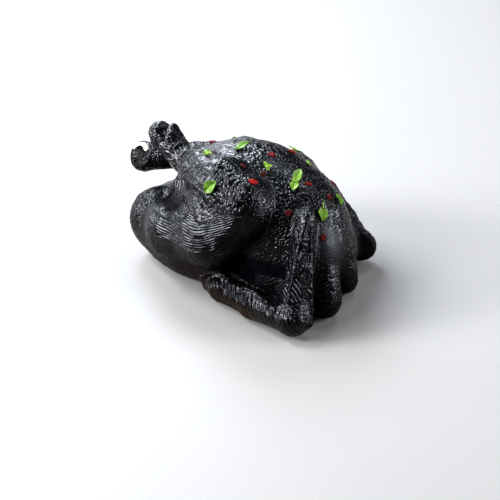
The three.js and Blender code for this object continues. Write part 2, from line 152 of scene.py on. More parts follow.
@dataclass(frozen=True)
class Limb:
    """A chain of tapering rounds through stations, each a middle and a radius."""

    stations: tuple[tuple[Triple, float], ...]
    reach: float = 1.0

    def distance(self, p: Array) -> Array:
        """The distance of each point to the limb, negative inside.

        Args:
            p: Places in millimetres, in rows.

        Returns:
            One distance for each point.
        """
        whole = None
        for (a, ra), (b, rb) in zip(self.stations, self.stations[1:]):
            h, away = to_segment(p, np.asarray(a, p.dtype), np.asarray(b, p.dtype))
            piece = np.sqrt(away) - (ra + (rb - ra) * h)
            whole = piece if whole is None else blend(whole, piece, self.reach)
        return whole


@dataclass(frozen=True)
class Web:
    """A stretch of skin over three corners, as thick as twice its radius."""

    corners: tuple[Triple, Triple, Triple]
    radius: float

    def distance(self, p: Array) -> Array:
        """The distance of each point to the stretch of skin, negative inside.

        Args:
            p: Places in millimetres, in rows.

        Returns:
            One distance for each point.
        """
        a, b, c = (np.asarray(corner, p.dtype) for corner in self.corners)
        normal = np.cross(b - a, a - c)
        within = np.zeros(len(p), p.dtype)
        nearest = np.full(len(p), np.inf, p.dtype)
        for start, end in ((a, b), (b, c), (c, a)):
            within += np.sign((p - start) @ np.cross(end - start, normal))
            nearest = np.minimum(nearest, to_segment(p, start, end)[1])
        face = ((p - a) @ normal) ** 2 / (normal @ normal)
        return np.sqrt(np.where(within < 2.0, nearest, face)) - self.radius


@dataclass(frozen=True)
class Wing:
    """A wing folded in a V: the upper arm comes down to the elbow, the lower arm lies along the ground."""

    apex: Triple
    arm: Triple
    elbow: Triple
    fore: Triple
    wrist: Triple
    tip: Triple
    panel_low: Triple
    panel_in: Triple
    web_low: Triple
    web_in: Triple
    web_front: Triple
    panel_radius: float = 3.5
    web_radius: float = 5.5

    def lower_arm(self) -> Limb:
        """From the wing's tip to its elbow."""
        return Limb(((self.tip, 7.5), (self.wrist, 9.5), (self.fore, 9.0), (self.elbow, 10.0)), 5.0)

    def upper_arm(self) -> Limb:
        """From the shoulder's point to the elbow."""
        return Limb(((self.apex, 4.0), (self.arm, 7.0), (self.elbow, 10.0)), 5.0)

    def distance(self, p: Array) -> Array:
        """The distance of each point to the wing, negative inside.

        Args:
            p: Places in millimetres, in rows.

        Returns:
            One distance for each point.
        """
        d = blend(self.lower_arm().distance(p), self.upper_arm().distance(p), 4.0)
        webs = (
            Web((self.apex, self.panel_low, self.panel_in), self.panel_radius),
            Web((self.apex, self.web_low, self.web_in), self.web_radius),
            Web((self.apex, self.web_low, self.web_front), self.web_radius),
        )
        for web in webs:
            d = blend(d, web.distance(p), self.panel_radius)
        return d


@dataclass(frozen=True)
class BirdForm:
    """The whole bird as one smooth body, as the solids have it."""

    breast: Lump = Lump((14, -1, 45), (62, 48, 50), 12)
    trunk: tuple[Lump, ...] = (
        Lump((-2, 0, 27), (70, 46, 31), 12),
        Lump((50, -6, 42), (40, 38, 40.5), 12),
        Lump((66, -8, 31), (24, 31, 34.5), 8),
        Lump((46, -22, 24), (38, 28, 24), 8),
        Lump((44, 22, 24), (38, 26, 24), 8),
        Lump((50, -33, 5), (39, 24, 10), 5),
        Lump((44, 28, 5), (34, 20, 10), 5),
        Lump((-9, -26, 19), (52, 27, 21.5), 8),
        Lump((-6, 24, 19), (46, 25, 21.5), 8),
        Lump((-54, -19, 27), (21.5, 21, 23), 7),
        Lump((-50, 18, 21), (18, 18, 18), 8),
    )
    tail: Limb = Limb((((-50, 2, 28), 11), ((-57, 2, 36), 7.5)))
    near_thigh: Limb = Limb(
        (((-48, -21, 30), 20), ((-24, -36, 37), 23), ((8, -43, 47), 24.5), ((28, -38.5, 64), 21)), 8
    )
    near_shank: Limb = Limb(
        (((28, -38, 72), 20.5), ((9, -34, 79), 18.5), ((-13, -25, 79.5), 13), ((-34, -17, 79), 9)), 7
    )
    outer_knuckle: Limb = Limb((((-34, -17, 80), 9), ((-56, -12.5, 90), 9.3)))
    inner_knuckle: Limb = Limb((((-36, -17, 81), 8.5), ((-45, -15, 91), 8)))
    far_thigh: Limb = Limb(
        (((-42, 20, 25), 17), ((-20, 32, 33), 22), ((8, 37, 42), 22), ((24, 34, 54), 19)), 8
    )
    far_shank: Limb = Limb(
        (((24, 33, 57), 19.5), ((-10, 24, 67), 15.5), ((-42, 13, 65), 10), ((-66, 1, 64.5), 8.5)), 6
    )
    far_hock: Triple = (-76.5, -3, 63)
    far_hock_radius: float = 11.0
    cut_facing: Triple = (-0.3, -0.8, 0.52)
    cut_ball: float = 30.0
    cut_depth: float = 6.0
    broad_fold: Limb = Limb((((58, -8, 66), 14), ((78, -20, 44), 13), ((90, -32, 12), 12)), 6)
    narrow_fold: Limb = Limb((((66, 6, 54), 9), ((83, 4, 36), 8.5), ((86.5, 2.5, 9), 9)), 6)
    near_wing: Wing = Wing(
        apex=(72, -27, 68.5), arm=(79, -46, 41), elbow=(85, -65, 12), fore=(50, -59, 9.5),
        wrist=(21, -51, 10), tip=(9, -47, 8.5), panel_low=(94, -60, 11), panel_in=(76, -58, 28),
        web_low=(82, -58, 14), web_in=(56, -34, 20), web_front=(80, -34, 12),
    )
    far_wing: Wing = Wing(
        apex=(57, 27, 61), arm=(65, 36, 36), elbow=(75, 45, 13), fore=(46, 48, 10),
        wrist=(18, 42, 10), tip=(8, 40, 8.5), panel_low=(77, 45, 11), panel_in=(58, 50, 14),
        web_low=(73, 43, 13), web_in=(48, 30, 20), web_front=(76, 26, 16),
    )
    floor_rounding: float = 3.0

    def cut_axis(self) -> tuple[Array, Array, Array, Array]:
        """The far hock's middle, and the ways forward, right and up of its cut face.

        Returns:
            The middle in millimetres and the three ways, each at length 1.
        """
        forward = unit(self.cut_facing)
        up = unit(np.array([0.0, 0.0, 1.0]) - forward * forward[2])
        return np.array(self.far_hock, float), forward, np.cross(up, forward), up

    def near_leg(self, p: Array) -> Array:
        """Thigh, knee and a drumstick that rises to a two-knuckled hock.

        Args:
            p: Places in millimetres, in rows.

        Returns:
            One distance for each point.
        """
        hock = blend(self.outer_knuckle.distance(p), self.inner_knuckle.distance(p), 3.0)
        drumstick = blend(self.near_shank.distance(p), hock, 3.0)
        return blend(self.near_thigh.distance(p), drumstick, 10.0)

    def far_drumstick(self, p: Array) -> Array:
        """The far drumstick, which ends in a flared hock."""
        flare = Limb((((-66, 1, 64), 8.5), (self.far_hock, self.far_hock_radius)))
        return blend(self.far_shank.distance(p), flare.distance(p), 3.0)

    def cut_face(self, p: Array) -> Array:
        """The hollow that a ball leaves in the far hock.

        Args:
            p: Places in millimetres, in rows.

        Returns:
            One distance for each point.
        """
        middle, forward, _, _ = self.cut_axis()
        ball = middle + forward * (self.cut_ball + self.cut_depth - 1.0)
        q = p - ball.astype(p.dtype)
        return self.cut_ball - np.sqrt((q * q).sum(1))

    def distance(self, p: Array) -> Array:
        """The distance of each point to the whole skin, negative inside.

        Args:
            p: Places in millimetres, in rows.

        Returns:
            One distance for each point.
        """
        d = self.breast.distance(p)
        for lump in self.trunk:
            d = blend(d, lump.distance(p), lump.reach)
        d = blend(d, self.tail.distance(p), 5.0)
        d = blend(d, self.near_leg(p), 5.0)
        d = blend(d, self.far_thigh.distance(p), 8.0)
        d = blend(d, self.far_drumstick(p), 4.0)
        d = trim(d, self.cut_face(p), 1.2)
        d = blend(d, self.near_wing.distance(p), 4.0)
        d = blend(d, self.far_wing.distance(p), 4.0)
        d = blend(d, self.broad_fold.distance(p), 6.0)
        d = blend(d, self.narrow_fold.distance(p), 4.0)
        return trim(d, -p[:, 2], self.floor_rounding)

    def slope(self, p: Array) -> Array:
        """The way out of the skin at each point.

        Args:
            p: Places in millimetres, in rows.

        Returns:
            One way for each point, about 1 long.
        """
        step = 0.4
        ways = [(self.distance(p + s) - self.distance(p - s)) / (2 * step) for s in step * np.eye(3)]
        return np.stack(ways, 1)

    def perch(self, near: Triple, heading: float) -> tuple[Array, Array]:
        """A place on the skin.

        Args:
            near: A point close to the place.
            heading: Degrees from east, counted round the way out.

        Returns:
            The point on the skin, and a 3 by 3 matrix whose columns are ahead, aside and out.
        """
        q = np.array([near], float)
        for _ in range(6):
            g = self.slope(q)
            q = q - g * (self.distance(q) / np.maximum((g * g).sum(1), 0.25))[:, None]
        out = unit(self.slope(q)[0])
        east = unit(np.array([1.0, 0.0, 0.0]) - out * out[0])
        north = np.cross(out, east)
        turn = math.radians(heading)
        ahead = east * math.cos(turn) + north * math.sin(turn)
        return q[0], np.stack([ahead, np.cross(out, ahead), out], axis=1)


# Meshes


def add_object(name: str, data: bpy.types.ID) -> Piece:
    """A new object in the scene.

    Args:
        name: Its name.
        data: Its mesh, lamp or camera.

    Returns:
        The object.
    """
    made = bpy.data.objects.new(name, data)
    bpy.context.scene.collection.objects.link(made)
    return made


def mesh_object(name: str, points: Array, faces: list | Array, smooth: bool = True) -> Piece:
    """A mesh object at the origin.

    Args:
        name: The object's name.
        points: Corners in metres, one row each.
        faces: Lists of corner numbers.
        smooth: Whether the faces are shaded smoothly.

    Returns:
        The new object, linked to the scene.
    """
    mesh = bpy.data.meshes.new(name)
    rows = faces.tolist() if isinstance(faces, Array) else faces
    mesh.from_pydata(np.asarray(points).tolist(), [], rows)
    mesh.polygons.foreach_set("use_smooth", [smooth] * len(mesh.polygons))
    mesh.update()
    return add_object(name, mesh)


def write_attribute(piece: Piece, name: str, values: Array) -> None:
    """Give each vertex of a mesh a number, or a vector where values has three columns.

    Args:
        piece: The mesh object.
        name: The attribute's name.
        values: One row for each vertex.
    """
    kind = "FLOAT_VECTOR" if values.ndim == 2 else "FLOAT"
    layer = piece.data.attributes.new(name, kind, "POINT")
    layer.data.foreach_set("vector" if values.ndim == 2 else "value", values.astype(np.float32).ravel())


def carrier_of(places: list, **numbers: list) -> Piece:
    """Loose points for a tree to set things on.

    Args:
        places: The points in metres.
        **numbers: What each point says, by the attribute's name.

    Returns:
        A mesh without faces.
    """
    carrier = mesh_object("places", np.array(places), [])
    for name, values in numbers.items():
        write_attribute(carrier, name, np.array(values))
    return carrier


def tube_faces(stations: int, sides: int) -> list[list[int]]:
    """Close a tube whose vertices run round one station after another.

    Args:
        stations: How many rounds of vertices there are.
        sides: How many vertices each round has.

    Returns:
        The faces of its side and of its two ends.
    """
    faces = []
    for i in range(1, stations):
        for j in range(sides):
            k = (j + 1) % sides
            before, here = (i - 1) * sides, i * sides
            faces.append([before + j, before + k, here + k, here + j])
    last = (stations - 1) * sides
    faces.append(list(reversed(range(sides))))
    faces.append([last + j for j in range(sides)])
    return faces


def triangles_of(piece: Piece) -> int:
    """How many triangles a mesh has."""
    return sum(len(face.vertices) - 2 for face in piece.data.polygons)


class SkinNet:
    """A closed net of four-sided faces over a distance field."""

    CORNERS = np.array([[i & 1, (i >> 1) & 1, (i >> 2) & 1] for i in range(8)])
    EDGES = [(a, a | bit) for a in range(8) for bit in (1, 2, 4) if not a & bit]

    def __init__(self, form: BirdForm, low: Triple, high: Triple, cell: float) -> None:
        """Measure the field on a grid.

        Args:
            form: What gives the distances.
            low: The grid's lowest corner.
            high: The grid's highest corner.
            cell: The grid's step.
        """
        self.form = form
        self.cell = cell
        self.low = np.array(low, float)
        coarse = np.ceil((np.array(high) - self.low) / (2 * cell)).astype(int) + 1
        size = 2 * coarse - 1
        rough = form.distance(self._places(coarse, 2 * cell)).reshape(coarse)
        for axis in range(3):
            rough = np.repeat(rough, 2, axis)
        self.value = rough[: size[0], : size[1], : size[2]].copy()
        near = np.argwhere(np.abs(self.value) < 3.5 * cell)
        exact = form.distance((self.low + near * cell).astype(np.float32))
        self.value[tuple(near.T)] = np.where(exact == 0.0, 1e-6, exact)
        self._settle()
        self.points, self.faces = self._net()

    def _places(self, counts: Array, step: float) -> Array:
        """The grid's points, one row each."""
        axes = [self.low[k] + step * np.arange(counts[k]) for k in range(3)]
        return np.stack(np.meshgrid(*axes, indexing="ij"), -1).reshape(-1, 3).astype(np.float32)

    def _crossed(self) -> Array:
        """The cells that the surface runs through.

        Returns:
            Their lowest corners, as grid numbers, one row each.
        """
        inside = (self.value < 0).astype(np.int8)
        count = sum(
            inside[a : inside.shape[0] - 1 + a, b : inside.shape[1] - 1 + b, c : inside.shape[2] - 1 + c]
            for a, b, c in self.CORNERS
        )
        return np.argwhere((count > 0) & (count < 8))

    def _corner_values(self, cells: Array) -> Array:
        """The eight values round each cell."""
        return np.stack([self.value[tuple((cells + corner).T)] for corner in self.CORNERS], 1)

    @classmethod
    def _plain_masks(cls) -> Array:
        """For each pattern of inside corners, whether both sides of the cell hang together.

        Returns:
            256 truth values.
        """

        def parts(mask: int, side: int) -> int:
            """Count the separate groups that the corners on one side form.

            Args:
                mask: One bit for each corner, set where it is inside.
                side: 1 for the inside corners, 0 for the others.

            Returns:
                How many there are.
            """
            label = {i: i for i in range(8) if (mask >> i) & 1 == side}
            for _ in range(8):
                for a, b in cls.EDGES:
                    if a in label and b in label:
                        label[a] = label[b] = min(label[a], label[b])
            return len(set(label.values()))

        return np.array([parts(mask, 1) <= 1 and parts(mask, 0) <= 1 for mask in range(256)])

    def _settle(self) -> None:
        """Where a cell is cut twice, its corner nearest the surface changes side."""
        plain = self._plain_masks()
        weights = 1 << np.arange(8)
        for _ in range(40):
            cells = self._crossed()
            values = self._corner_values(cells)
            odd = ~plain[((values < 0) * weights).sum(1)]
            if not odd.any():
                return
            nearest = np.abs(values[odd]).argmin(1)
            at = np.unique(cells[odd] + self.CORNERS[nearest], axis=0)
            here = tuple(at.T)
            self.value[here] = np.where(self.value[here] < 0, 0.02, -0.02)

    def _net(self) -> tuple[Array, Array]:
        """One vertex in each crossed cell, one face round each crossed edge.

        Returns:
            The vertices in millimetres, and four vertex numbers for each face.
        """
        cells = self._crossed()
        values = self._corner_values(cells)
        total = np.zeros((len(cells), 3))
        count = np.zeros(len(cells))
        for a, b in self.EDGES:
            crossed = (values[:, a] < 0) != (values[:, b] < 0)
            share = np.where(crossed, values[:, a] / np.where(crossed, values[:, a] - values[:, b], 1.0), 0.0)
            spot = self.CORNERS[a] + share[:, None] * (self.CORNERS[b] - self.CORNERS[a])
            total += spot * crossed[:, None]
            count += crossed
        points = self.low + (cells + total / count[:, None]) * self.cell
        number = np.full(self.value.shape, -1)
        number[tuple(cells.T)] = np.arange(len(cells))
        inside = self.value < 0
        faces = []
        for axis in range(3):
            before = np.take(inside, range(inside.shape[axis] - 1), axis)
            after = np.take(inside, range(1, inside.shape[axis]), axis)
            u, v = (np.roll((1, 0, 0), axis + turn) for turn in (1, 2))
            for outward in (True, False):
                at = np.argwhere(before & ~after if outward else ~before & after)
                ring = [at, at - u, at - u - v, at - v]
                if not outward:
                    ring = [ring[0], ring[3], ring[2], ring[1]]
                faces.append(np.stack([number[tuple(r.T)] for r in ring], 1))
        return points, np.concatenate(faces)

    def normals(self, points: Array) -> Array:
        """The way out at each vertex, from the faces round it.

        Args:
            points: The vertices' places.

        Returns:
            One way for each vertex, at length 1.
        """
        corner = points[self.faces]
        across = np.cross(corner[:, 2] - corner[:, 0], corner[:, 3] - corner[:, 1])
        total = np.zeros_like(points)
        for k in range(4):
            for axis in range(3):
                total[:, axis] += np.bincount(self.faces[:, k], across[:, axis], len(points))
        return total / np.maximum(np.linalg.norm(total, axis=1), 1e-9)[:, None]

    def relax(self, rounds: int) -> None:
        """Spread the vertices evenly and put each back on the surface.

        Args:
            rounds: How often.
        """
        ends = np.concatenate([self.faces, np.roll(self.faces, 1, 1)], 1)
        near = np.concatenate([np.roll(self.faces, -1, 1), self.faces], 1)
        degree = np.bincount(ends.ravel(), minlength=len(self.points))
        for _ in range(rounds):
            there = self.points[near.ravel()]
            total = [np.bincount(ends.ravel(), there[:, k], len(self.points)) for k in range(3)]
            mean = np.stack(total, 1)
            pull = 0.5 * (mean / degree[:, None] - self.points)
            out = self.normals(self.points)
            moved = self.points + pull - out * (pull * out).sum(1)[:, None]
            self.points = moved - out * self.form.distance(moved)[:, None]


# Fine relief of the skin


class Side(Enum):
    """Which side of the bird a detail lies on."""

    NEAR = -1.0
    FAR = 1.0

    def carry(self, at: Triple) -> Array:
        """A place on the near side, or its twin on the far side, which stands closer to the body."""
        x, y, z = at
        return np.array(at if self is Side.NEAR else (x - 11.0, -0.74 * y, 0.94 * z), float)

    def turn(self, way: Triple) -> Array:
        """A direction on the near side, or its mirror image on the far side."""
        x, y, z = way
        return unit(way if self is Side.NEAR else (x, -y, z))


@dataclass(frozen=True)
class Patch:
    """Short parallel wrinkles in an oval of skin.

    It gives its middle, the way that the wrinkles run, the way out of the skin, the oval's half length along
    the wrinkles and half width across them, how deep they are, how many times longer than wide they are, how
    far in from its middle the oval reaches, and how evenly spaced they are.
    """

    at: Triple
    along: Triple
    out: Triple
    half: Span
    strength: float = 1.0
    long: float = 3.0
    depth: float = 11.0
    regular: float = 0.0

    def weight(self, p: Array, out: Array, side: Side) -> Array:
        """1 at each point well inside the oval, 0 outside it.

        Args:
            p: Places in millimetres, in rows.
            out: The way out of the skin at each.
            side: The side of the bird it lies on.

        Returns:
            One value for each point.
        """
        ahead, along = side.turn(self.out), side.turn(self.along)
        q = p - side.carry(self.at)
        u, v, w = q @ along, q @ np.cross(ahead, along), q @ ahead
        oval = np.sqrt((u / self.half[0]) ** 2 + (v / self.half[1]) ** 2)
        close = ramp(oval, 1.35, 0.75) * ramp(np.abs(w), self.depth + 3, self.depth)
        return close * ramp(out @ ahead, 0.1, 0.5)


PATCHES = (
    Patch((12, -51, 90), (0.22, 0.57, 0.79), (0.05, -0.81, 0.58), (11, 12)),
    Patch((2, -47, 93), (0.15, 0.70, 0.70), (-0.40, -0.61, 0.69), (9, 9)),
    Patch((26, -48, 90.4), (-0.16, 0.84, 0.52), (0.10, -0.51, 0.85), (11, 11)),
    Patch((28, -58.3, 79.7), (0.01, 0.45, 0.89), (0.0, -0.89, 0.45), (6, 13)),
    Patch((10, -41, 98), (0.02, 0.94, 0.34), (0.08, -0.35, 0.94), (10, 13), 0.7),
    Patch((4, -14, 97), (0.95, -0.31, 0.0), (0.0, -0.2, 0.98), (24, 20), 0.6, 2.0),
    Patch((-15, -56, 60), (0.87, -0.36, 0.33), (-0.49, -0.62, 0.61), (15, 7), 0.9, 1.6),
    Patch((-33, -38, 56), (0.75, -0.6, 0.2), (-0.55, -0.5, 0.67), (16, 9), 1.2, 1.8),
    Patch((12, -62, 72), (0.6, 0.3, 0.7), (-0.1, -0.85, 0.5), (10, 8), 1.0, 1.8),
    Patch((63, -64, 19.7), (0.75, -0.66, -0.07), (-0.14, -0.26, 0.95), (9, 12), 1.2, 5.0, 9.0, 0.8),
    Patch((82.8, -61.4, 32.7), (0.77, -0.33, -0.55), (0.12, -0.77, 0.63), (7, 13), 1.4, 5.0, 8.0, 0.8),
    Patch((58.3, -48.3, 21), (0.79, 0.10, 0.60), (0.24, -0.96, -0.15), (10, 5), 1.0, 3.0, 7.0),
    Patch((77.7, -48.2, 50), (0.80, -0.47, -0.37), (-0.02, -0.64, 0.77), (5, 18), 1.1, 2.2, 8.0),
    Patch((84, -47, 46), (0.48, -0.57, -0.67), (0.68, -0.25, 0.69), (20, 5), 0.45, 1.6, 8.0),
    Patch((64.6, -42, 47), (-0.26, -0.28, -0.92), (0.27, -0.94, 0.21), (17, 10), 0.8, 1.4),
)


@dataclass(frozen=True)
class Seam:
    """A ridge along a line over the skin, or a groove where its height is below 0."""

    line: tuple[Triple, ...]
    width: float
    height: float

    def lift(self, p: Array, side: Side) -> Array:
        """How far each point is raised, in millimetres.

        Args:
            p: Places in millimetres, in rows.
            side: The side of the bird it lies on.

        Returns:
            One height for each point.
        """
        nearest = np.full(len(p), np.inf)
        stations = [side.carry(at) for at in self.line]
        for a, b in zip(stations, stations[1:]):
            nearest = np.minimum(nearest, to_segment(p, a, b)[1])
        return self.height * np.exp(-nearest / self.width**2)


WING_SEAMS = (
    Seam(
        (
            (5, -52.5, 14), (9, -52, 18.5), (14, -52.2, 20.5), (20, -52.5, 21.1), (27, -54.8, 20),
            (36, -56.8, 19), (44.5, -58.2, 19.2), (55, -61.1, 19.5), (64, -65.4, 19.2), (72.6, -68.7, 19),
        ),
        2.3, 1.9,
    ),
    Seam(((49, -59.3, 19.7), (50, -59.5, 19.7)), 3.2, 1.3),
    Seam(
        (
            (71.8, -22.7, 72.9), (74.9, -32.3, 69.1), (75.9, -37.8, 62.1), (76.9, -44.4, 54),
            (78.3, -50.4, 48.2), (80.5, -55.3, 41.3), (81.2, -61.3, 32.8), (82.9, -65.3, 27.7),
        ),
        2.1, 2.0,
    ),
    Seam(((78.5, -34, 60), (81, -41, 52.5), (84, -48, 44.5), (87, -53, 36), (90, -58, 27)), 2.6, -1.5),
    Seam(((75.6, -27, 72.3), (82.7, -38.4, 52.9), (89.7, -48.9, 33.1), (95.2, -57, 18)), 1.5, 1.1),
)
BODY_SEAMS = (
    Seam(((-50, -8, 98), (-52, -14.5, 98.6), (-49, -20, 97.1), (-47.5, -23, 93)), 2.2, -3.6),
    Seam(((-46, -9, 97), (-46, -14, 97.5)), 3.0, 2.6),
    Seam(((-41, -14, 97.5), (-38.5, -15, 95.5)), 4.8, 1.5),
    Seam(((-57, -16, 98), (-57.5, -16, 98)), 5.0, 0.7),
    Seam(((-47, -24, 53), (-37, -37, 57), (-24, -46, 60.5)), 6.5, -5.0),
    Seam(((-1.5, -51.3, 78.4), (3.7, -54.3, 76.8), (8.5, -56.8, 74)), 2.6, -2.6),
    Seam(((-12, -41, 80), (-1, -50, 83), (7, -54, 81), (15, -56.5, 78)), 1.5, 1.2),
    Seam(((-6, -44, 87), (5.5, -51, 87), (14, -54, 84.5), (22, -56, 82)), 1.7, 1.0),
    Seam(((75.4, -19, 70.6), (81.5, -27.4, 58.7), (86.7, -31.8, 47)), 2.2, -0.4),
    Seam(((79, 0, 68), (85, -7, 60), (90, -12, 50), (92, -13, 37), (89, -8, 22)), 1.4, 1.5),
    Seam(((-69, -24, 43), (-63, -22.4, 47.8), (-57.5, -19, 50.2)), 2.5, 0.9),
)


@dataclass
class SkinRelief:
    """Where the skin is wrinkled, pleated, knobbed, bare or cut.

    It takes the bird's form, the places to describe and the way out of the skin at each. A pair of values
    below is a span over which a kind of skin comes in, from where it starts to where it is full: millimetres
    along an axis, or how far the skin faces along it. Three values are a window's ends and its soft edge.
    """

    form: BirdForm
    p: Array
    out: Array

    # Distances from a limb between which its skin comes in
    limb_edge: Span = (3.0, 0.5)
    arm_edge: Span = (3.0, 0.8)
    neck_edge: Span = (4.0, 1.0)
    floor_edge: Span = (0.4, 4.0)

    # The V of rings on a thigh: its foot, how it leans and spreads, the rows it fills and its reach along X
    ring_foot: Triple = (12.0, 60.0, 50.0)
    ring_lean: float = 0.25
    ring_spread: float = 0.32
    ring_rounding: float = 5.0
    ring_rows: Triple = (22.0, 40.0, 9.0)
    ring_reach: Triple = (-18.0, 27.0, 17.0)
    ring_side: Span = (32.0, 42.0)
    ring_facing: Span = (0.2, 0.55)

    # The slanting rows down the outside of a lower arm, and the beads along its top
    stripe_place: Triple = (50.0, -60.0, 10.0)
    stripe_way: Triple = (-0.55, 0.0, 0.83)
    stripe_side: Span = (36.0, 42.0)
    stripe_facing: Span = (0.1, 0.45)
    stripe_top: Span = (20.5, 18.0)
    stripe_foot: Span = (2.0, 4.0)
    bead_spacing: float = 3.4
    bead_reach: Span = (58.0, 44.0)

    # The ridges below the near hock
    ankle_start: Triple = (-34.0, -17.0, 79.0)
    ankle_end: Triple = (28.0, -38.0, 72.0)
    ankle_out: Triple = (-0.2, -0.7, 0.7)
    ankle_reach: Triple = (-10.0, 6.0, 6.0)

    # The wrinkles at the end of the neck skin, and its smooth panel above them
    neck_place: Triple = (95.0, -25.0, 28.0)
    neck_way: Triple = (0.45, 0.89, 0.0)
    neck_out: Triple = (0.89, -0.45, 0.0)
    neck_height: Triple = (22.0, 34.0, 5.0)
    neck_facing: Span = (0.2, 0.6)
    panel_height: Span = (30.0, 54.0)
    panel_facing: Span = (0.25, 0.8)

    # The lower flank and the knees, whose skin is smooth
    flank_height: Span = (34.0, 22.0)
    flank_facing: Span = (0.2, -0.2)
    flank_reach: Span = (30.0, 10.0)
    knee_at: Triple = (47.0, -50.0, 68.0)
    knee_half: Triple = (14.0, 14.0, 17.0)
    knee_edge: Span = (1.25, 0.75)

    # The pocket between the body and a folded wing, which is painted in shade, and the shelf of skin in it
    # that is left to shine
    pocket_reach: Triple = (20.0, 68.0, 5.0)
    pocket_height: Span = (44.0, 36.0)
    pocket_side: Span = (59.0, 53.0)
    pocket_arm: Span = (0.6, 0.1)
    shelf_reach: Triple = (49.0, 67.0, 4.0)
    shelf_height: Triple = (13.0, 27.0, 3.0)
    shelf_side: Span = (42.0, 46.0)

    # Where shade is painted: the deep hollow under the near leg, the far wing's inner face and other folds
    # and undersides; and the top of the near leg, which is made a little rougher
    hollow: Seam = Seam(((-38, -17, 61), (-42, -27, 55), (-36, -36, 57), (-24, -45, 60)), 8.5, 0.9)
    inward_facing: Span = (0.35, -0.25)
    foot_height: Span = (26.0, 14.0)
    under_height: Span = (54.0, 14.0)
    under_facing: Span = (0.6, -0.4)
    arm_facing: Span = (0.1, 0.4)
    arm_height: Span = (20.0, 18.0)
    arm_reach: Span = (56.0, 48.0)
    web_height: Span = (66.0, 58.0)
    rear_reach: Span = (-38.0, -52.0)
    rear_height: Span = (50.0, 36.0)
    sheen_reach: Triple = (-14.0, 30.0, 8.0)
    sheen_height: Span = (62.0, 72.0)

    # The painted reflection of a brown floor low on the sides, and the brown on the narrow fold
    warm_height: Span = (52.0, 8.0)
    warm_facing: Span = (0.7, -0.4)
    warm_front: Span = (55.0, 70.0)
    warm_fold: Triple = (14.0, 50.0, 6.0)

    # The cut face's reach from the hock's middle, and the skin's edge round it
    cut_reach: float = 16.0
    cut_edge: Span = (1.1, 0.5)
    cut_facing: Span = (0.5, 0.75)
    rim_radius: float = 10.2
    rim_outside: float = 14.0
    rim_ahead: Triple = (2.5, 8.0, 1.5)

    def __post_init__(self) -> None:
        """Split the places and the ways out into coordinates, and measure each limb."""
        self.x, self.y, self.z = self.p.T
        self.out_x, self.out_y, self.out_z = self.out.T
        self.warp = ripple(self.p, 13.0, 1.0)
        self.warp_fine = ripple(self.p, 5.0, 2.0)
        skin = self.form
        self.near_leg = ramp(skin.near_leg(self.p), *self.limb_edge)
        far_leg = np.minimum(skin.far_thigh.distance(self.p), skin.far_drumstick(self.p))
        self.far_leg = ramp(far_leg, *self.limb_edge)
        knuckles = np.minimum(skin.outer_knuckle.distance(self.p), skin.inner_knuckle.distance(self.p))
        self.near_hock = ramp(knuckles, *self.arm_edge)
        arms = [wing.lower_arm().distance(self.p) for wing in (skin.near_wing, skin.far_wing)]
        self.lower_arms = ramp(np.minimum(*arms), *self.arm_edge)
        self.near_web = ramp(skin.near_wing.distance(self.p), *self.arm_edge) * (1.0 - self.lower_arms)
        self.far_wing = ramp(skin.far_wing.distance(self.p), *self.limb_edge)
        narrow = skin.narrow_fold.distance(self.p)
        self.neck = ramp(np.minimum(skin.broad_fold.distance(self.p), narrow), *self.neck_edge)
        self.narrow = ramp(narrow, *self.limb_edge)
        self.above_floor = ramp(self.z, *self.floor_edge)
        self.flows: list[tuple[Array, Array, Array, float]] = []
        self.striped = np.zeros(len(self.p))
        self.line = np.zeros(len(self.p))
        self.regular = np.zeros(len(self.p))
        self.place, self.depth = self.grain()

    def _flow(
        self, weight: Array, at: Array, along: Array, out: Array, long: float,
        slip: Array | float = 0.0, regular: float = 0.0, spacing: float = 2.4,
    ) -> None:
        """Note one set of wrinkles.

        Args:
            weight: How much of it each point has.
            at: The middle of the set.
            along: The way that the wrinkles run.
            out: The way out of the skin.
            long: How many times longer than wide they are.
            slip: How far the wrinkles bend sideways at each point, in millimetres.
            regular: How evenly spaced they are, from 0 to 1.
            spacing: How far apart they are in millimetres, as far as they are regular.
        """
        q = self.p - at
        across = np.cross(out, along)
        travel = (q @ across + slip) / spacing
        drawn = (1.0 - 1.0 / long) * (q @ along)
        shift = np.multiply.outer(slip, across) - drawn[:, None] * along
        shift = shift - (0.8 * regular) * (q @ out)[:, None] * out
        self.flows.append((weight, shift, travel, regular))

    def _thigh_rings(self, side: Side) -> Array:
        """Note the wrinkles that hang in a V round the fold between thigh and drumstick.

        Args:
            side: Which thigh they are on.

        Returns:
            How much of them each point has.
        """
        foot_x, foot_y, foot_z = self.ring_foot
        bend = self.x - foot_x
        hang = self.ring_lean * bend + self.ring_spread * np.sqrt(bend**2 + self.ring_rounding**2)
        across = unit((0.0, -0.3 * side.value, 0.95))
        travel = self.p @ across - hang
        facing = ramp(side.value * self.y, *self.ring_side) * ramp(side.value * self.out_y, *self.ring_facing)
        leg = self.near_leg if side is Side.NEAR else self.far_leg
        weight = window(travel, *self.ring_rows) * window(self.x, *self.ring_reach) * facing * leg
        start = np.array((foot_x, foot_y * side.value, foot_z))
        slip = 1.1 * self.warp + 0.35 * self.warp_fine - hang
        way = np.array((1.0, 0.0, 0.0))
        self._flow(weight, start, way, np.cross(way, across), long=9.0, slip=slip, regular=0.7, spacing=1.8)
        return weight

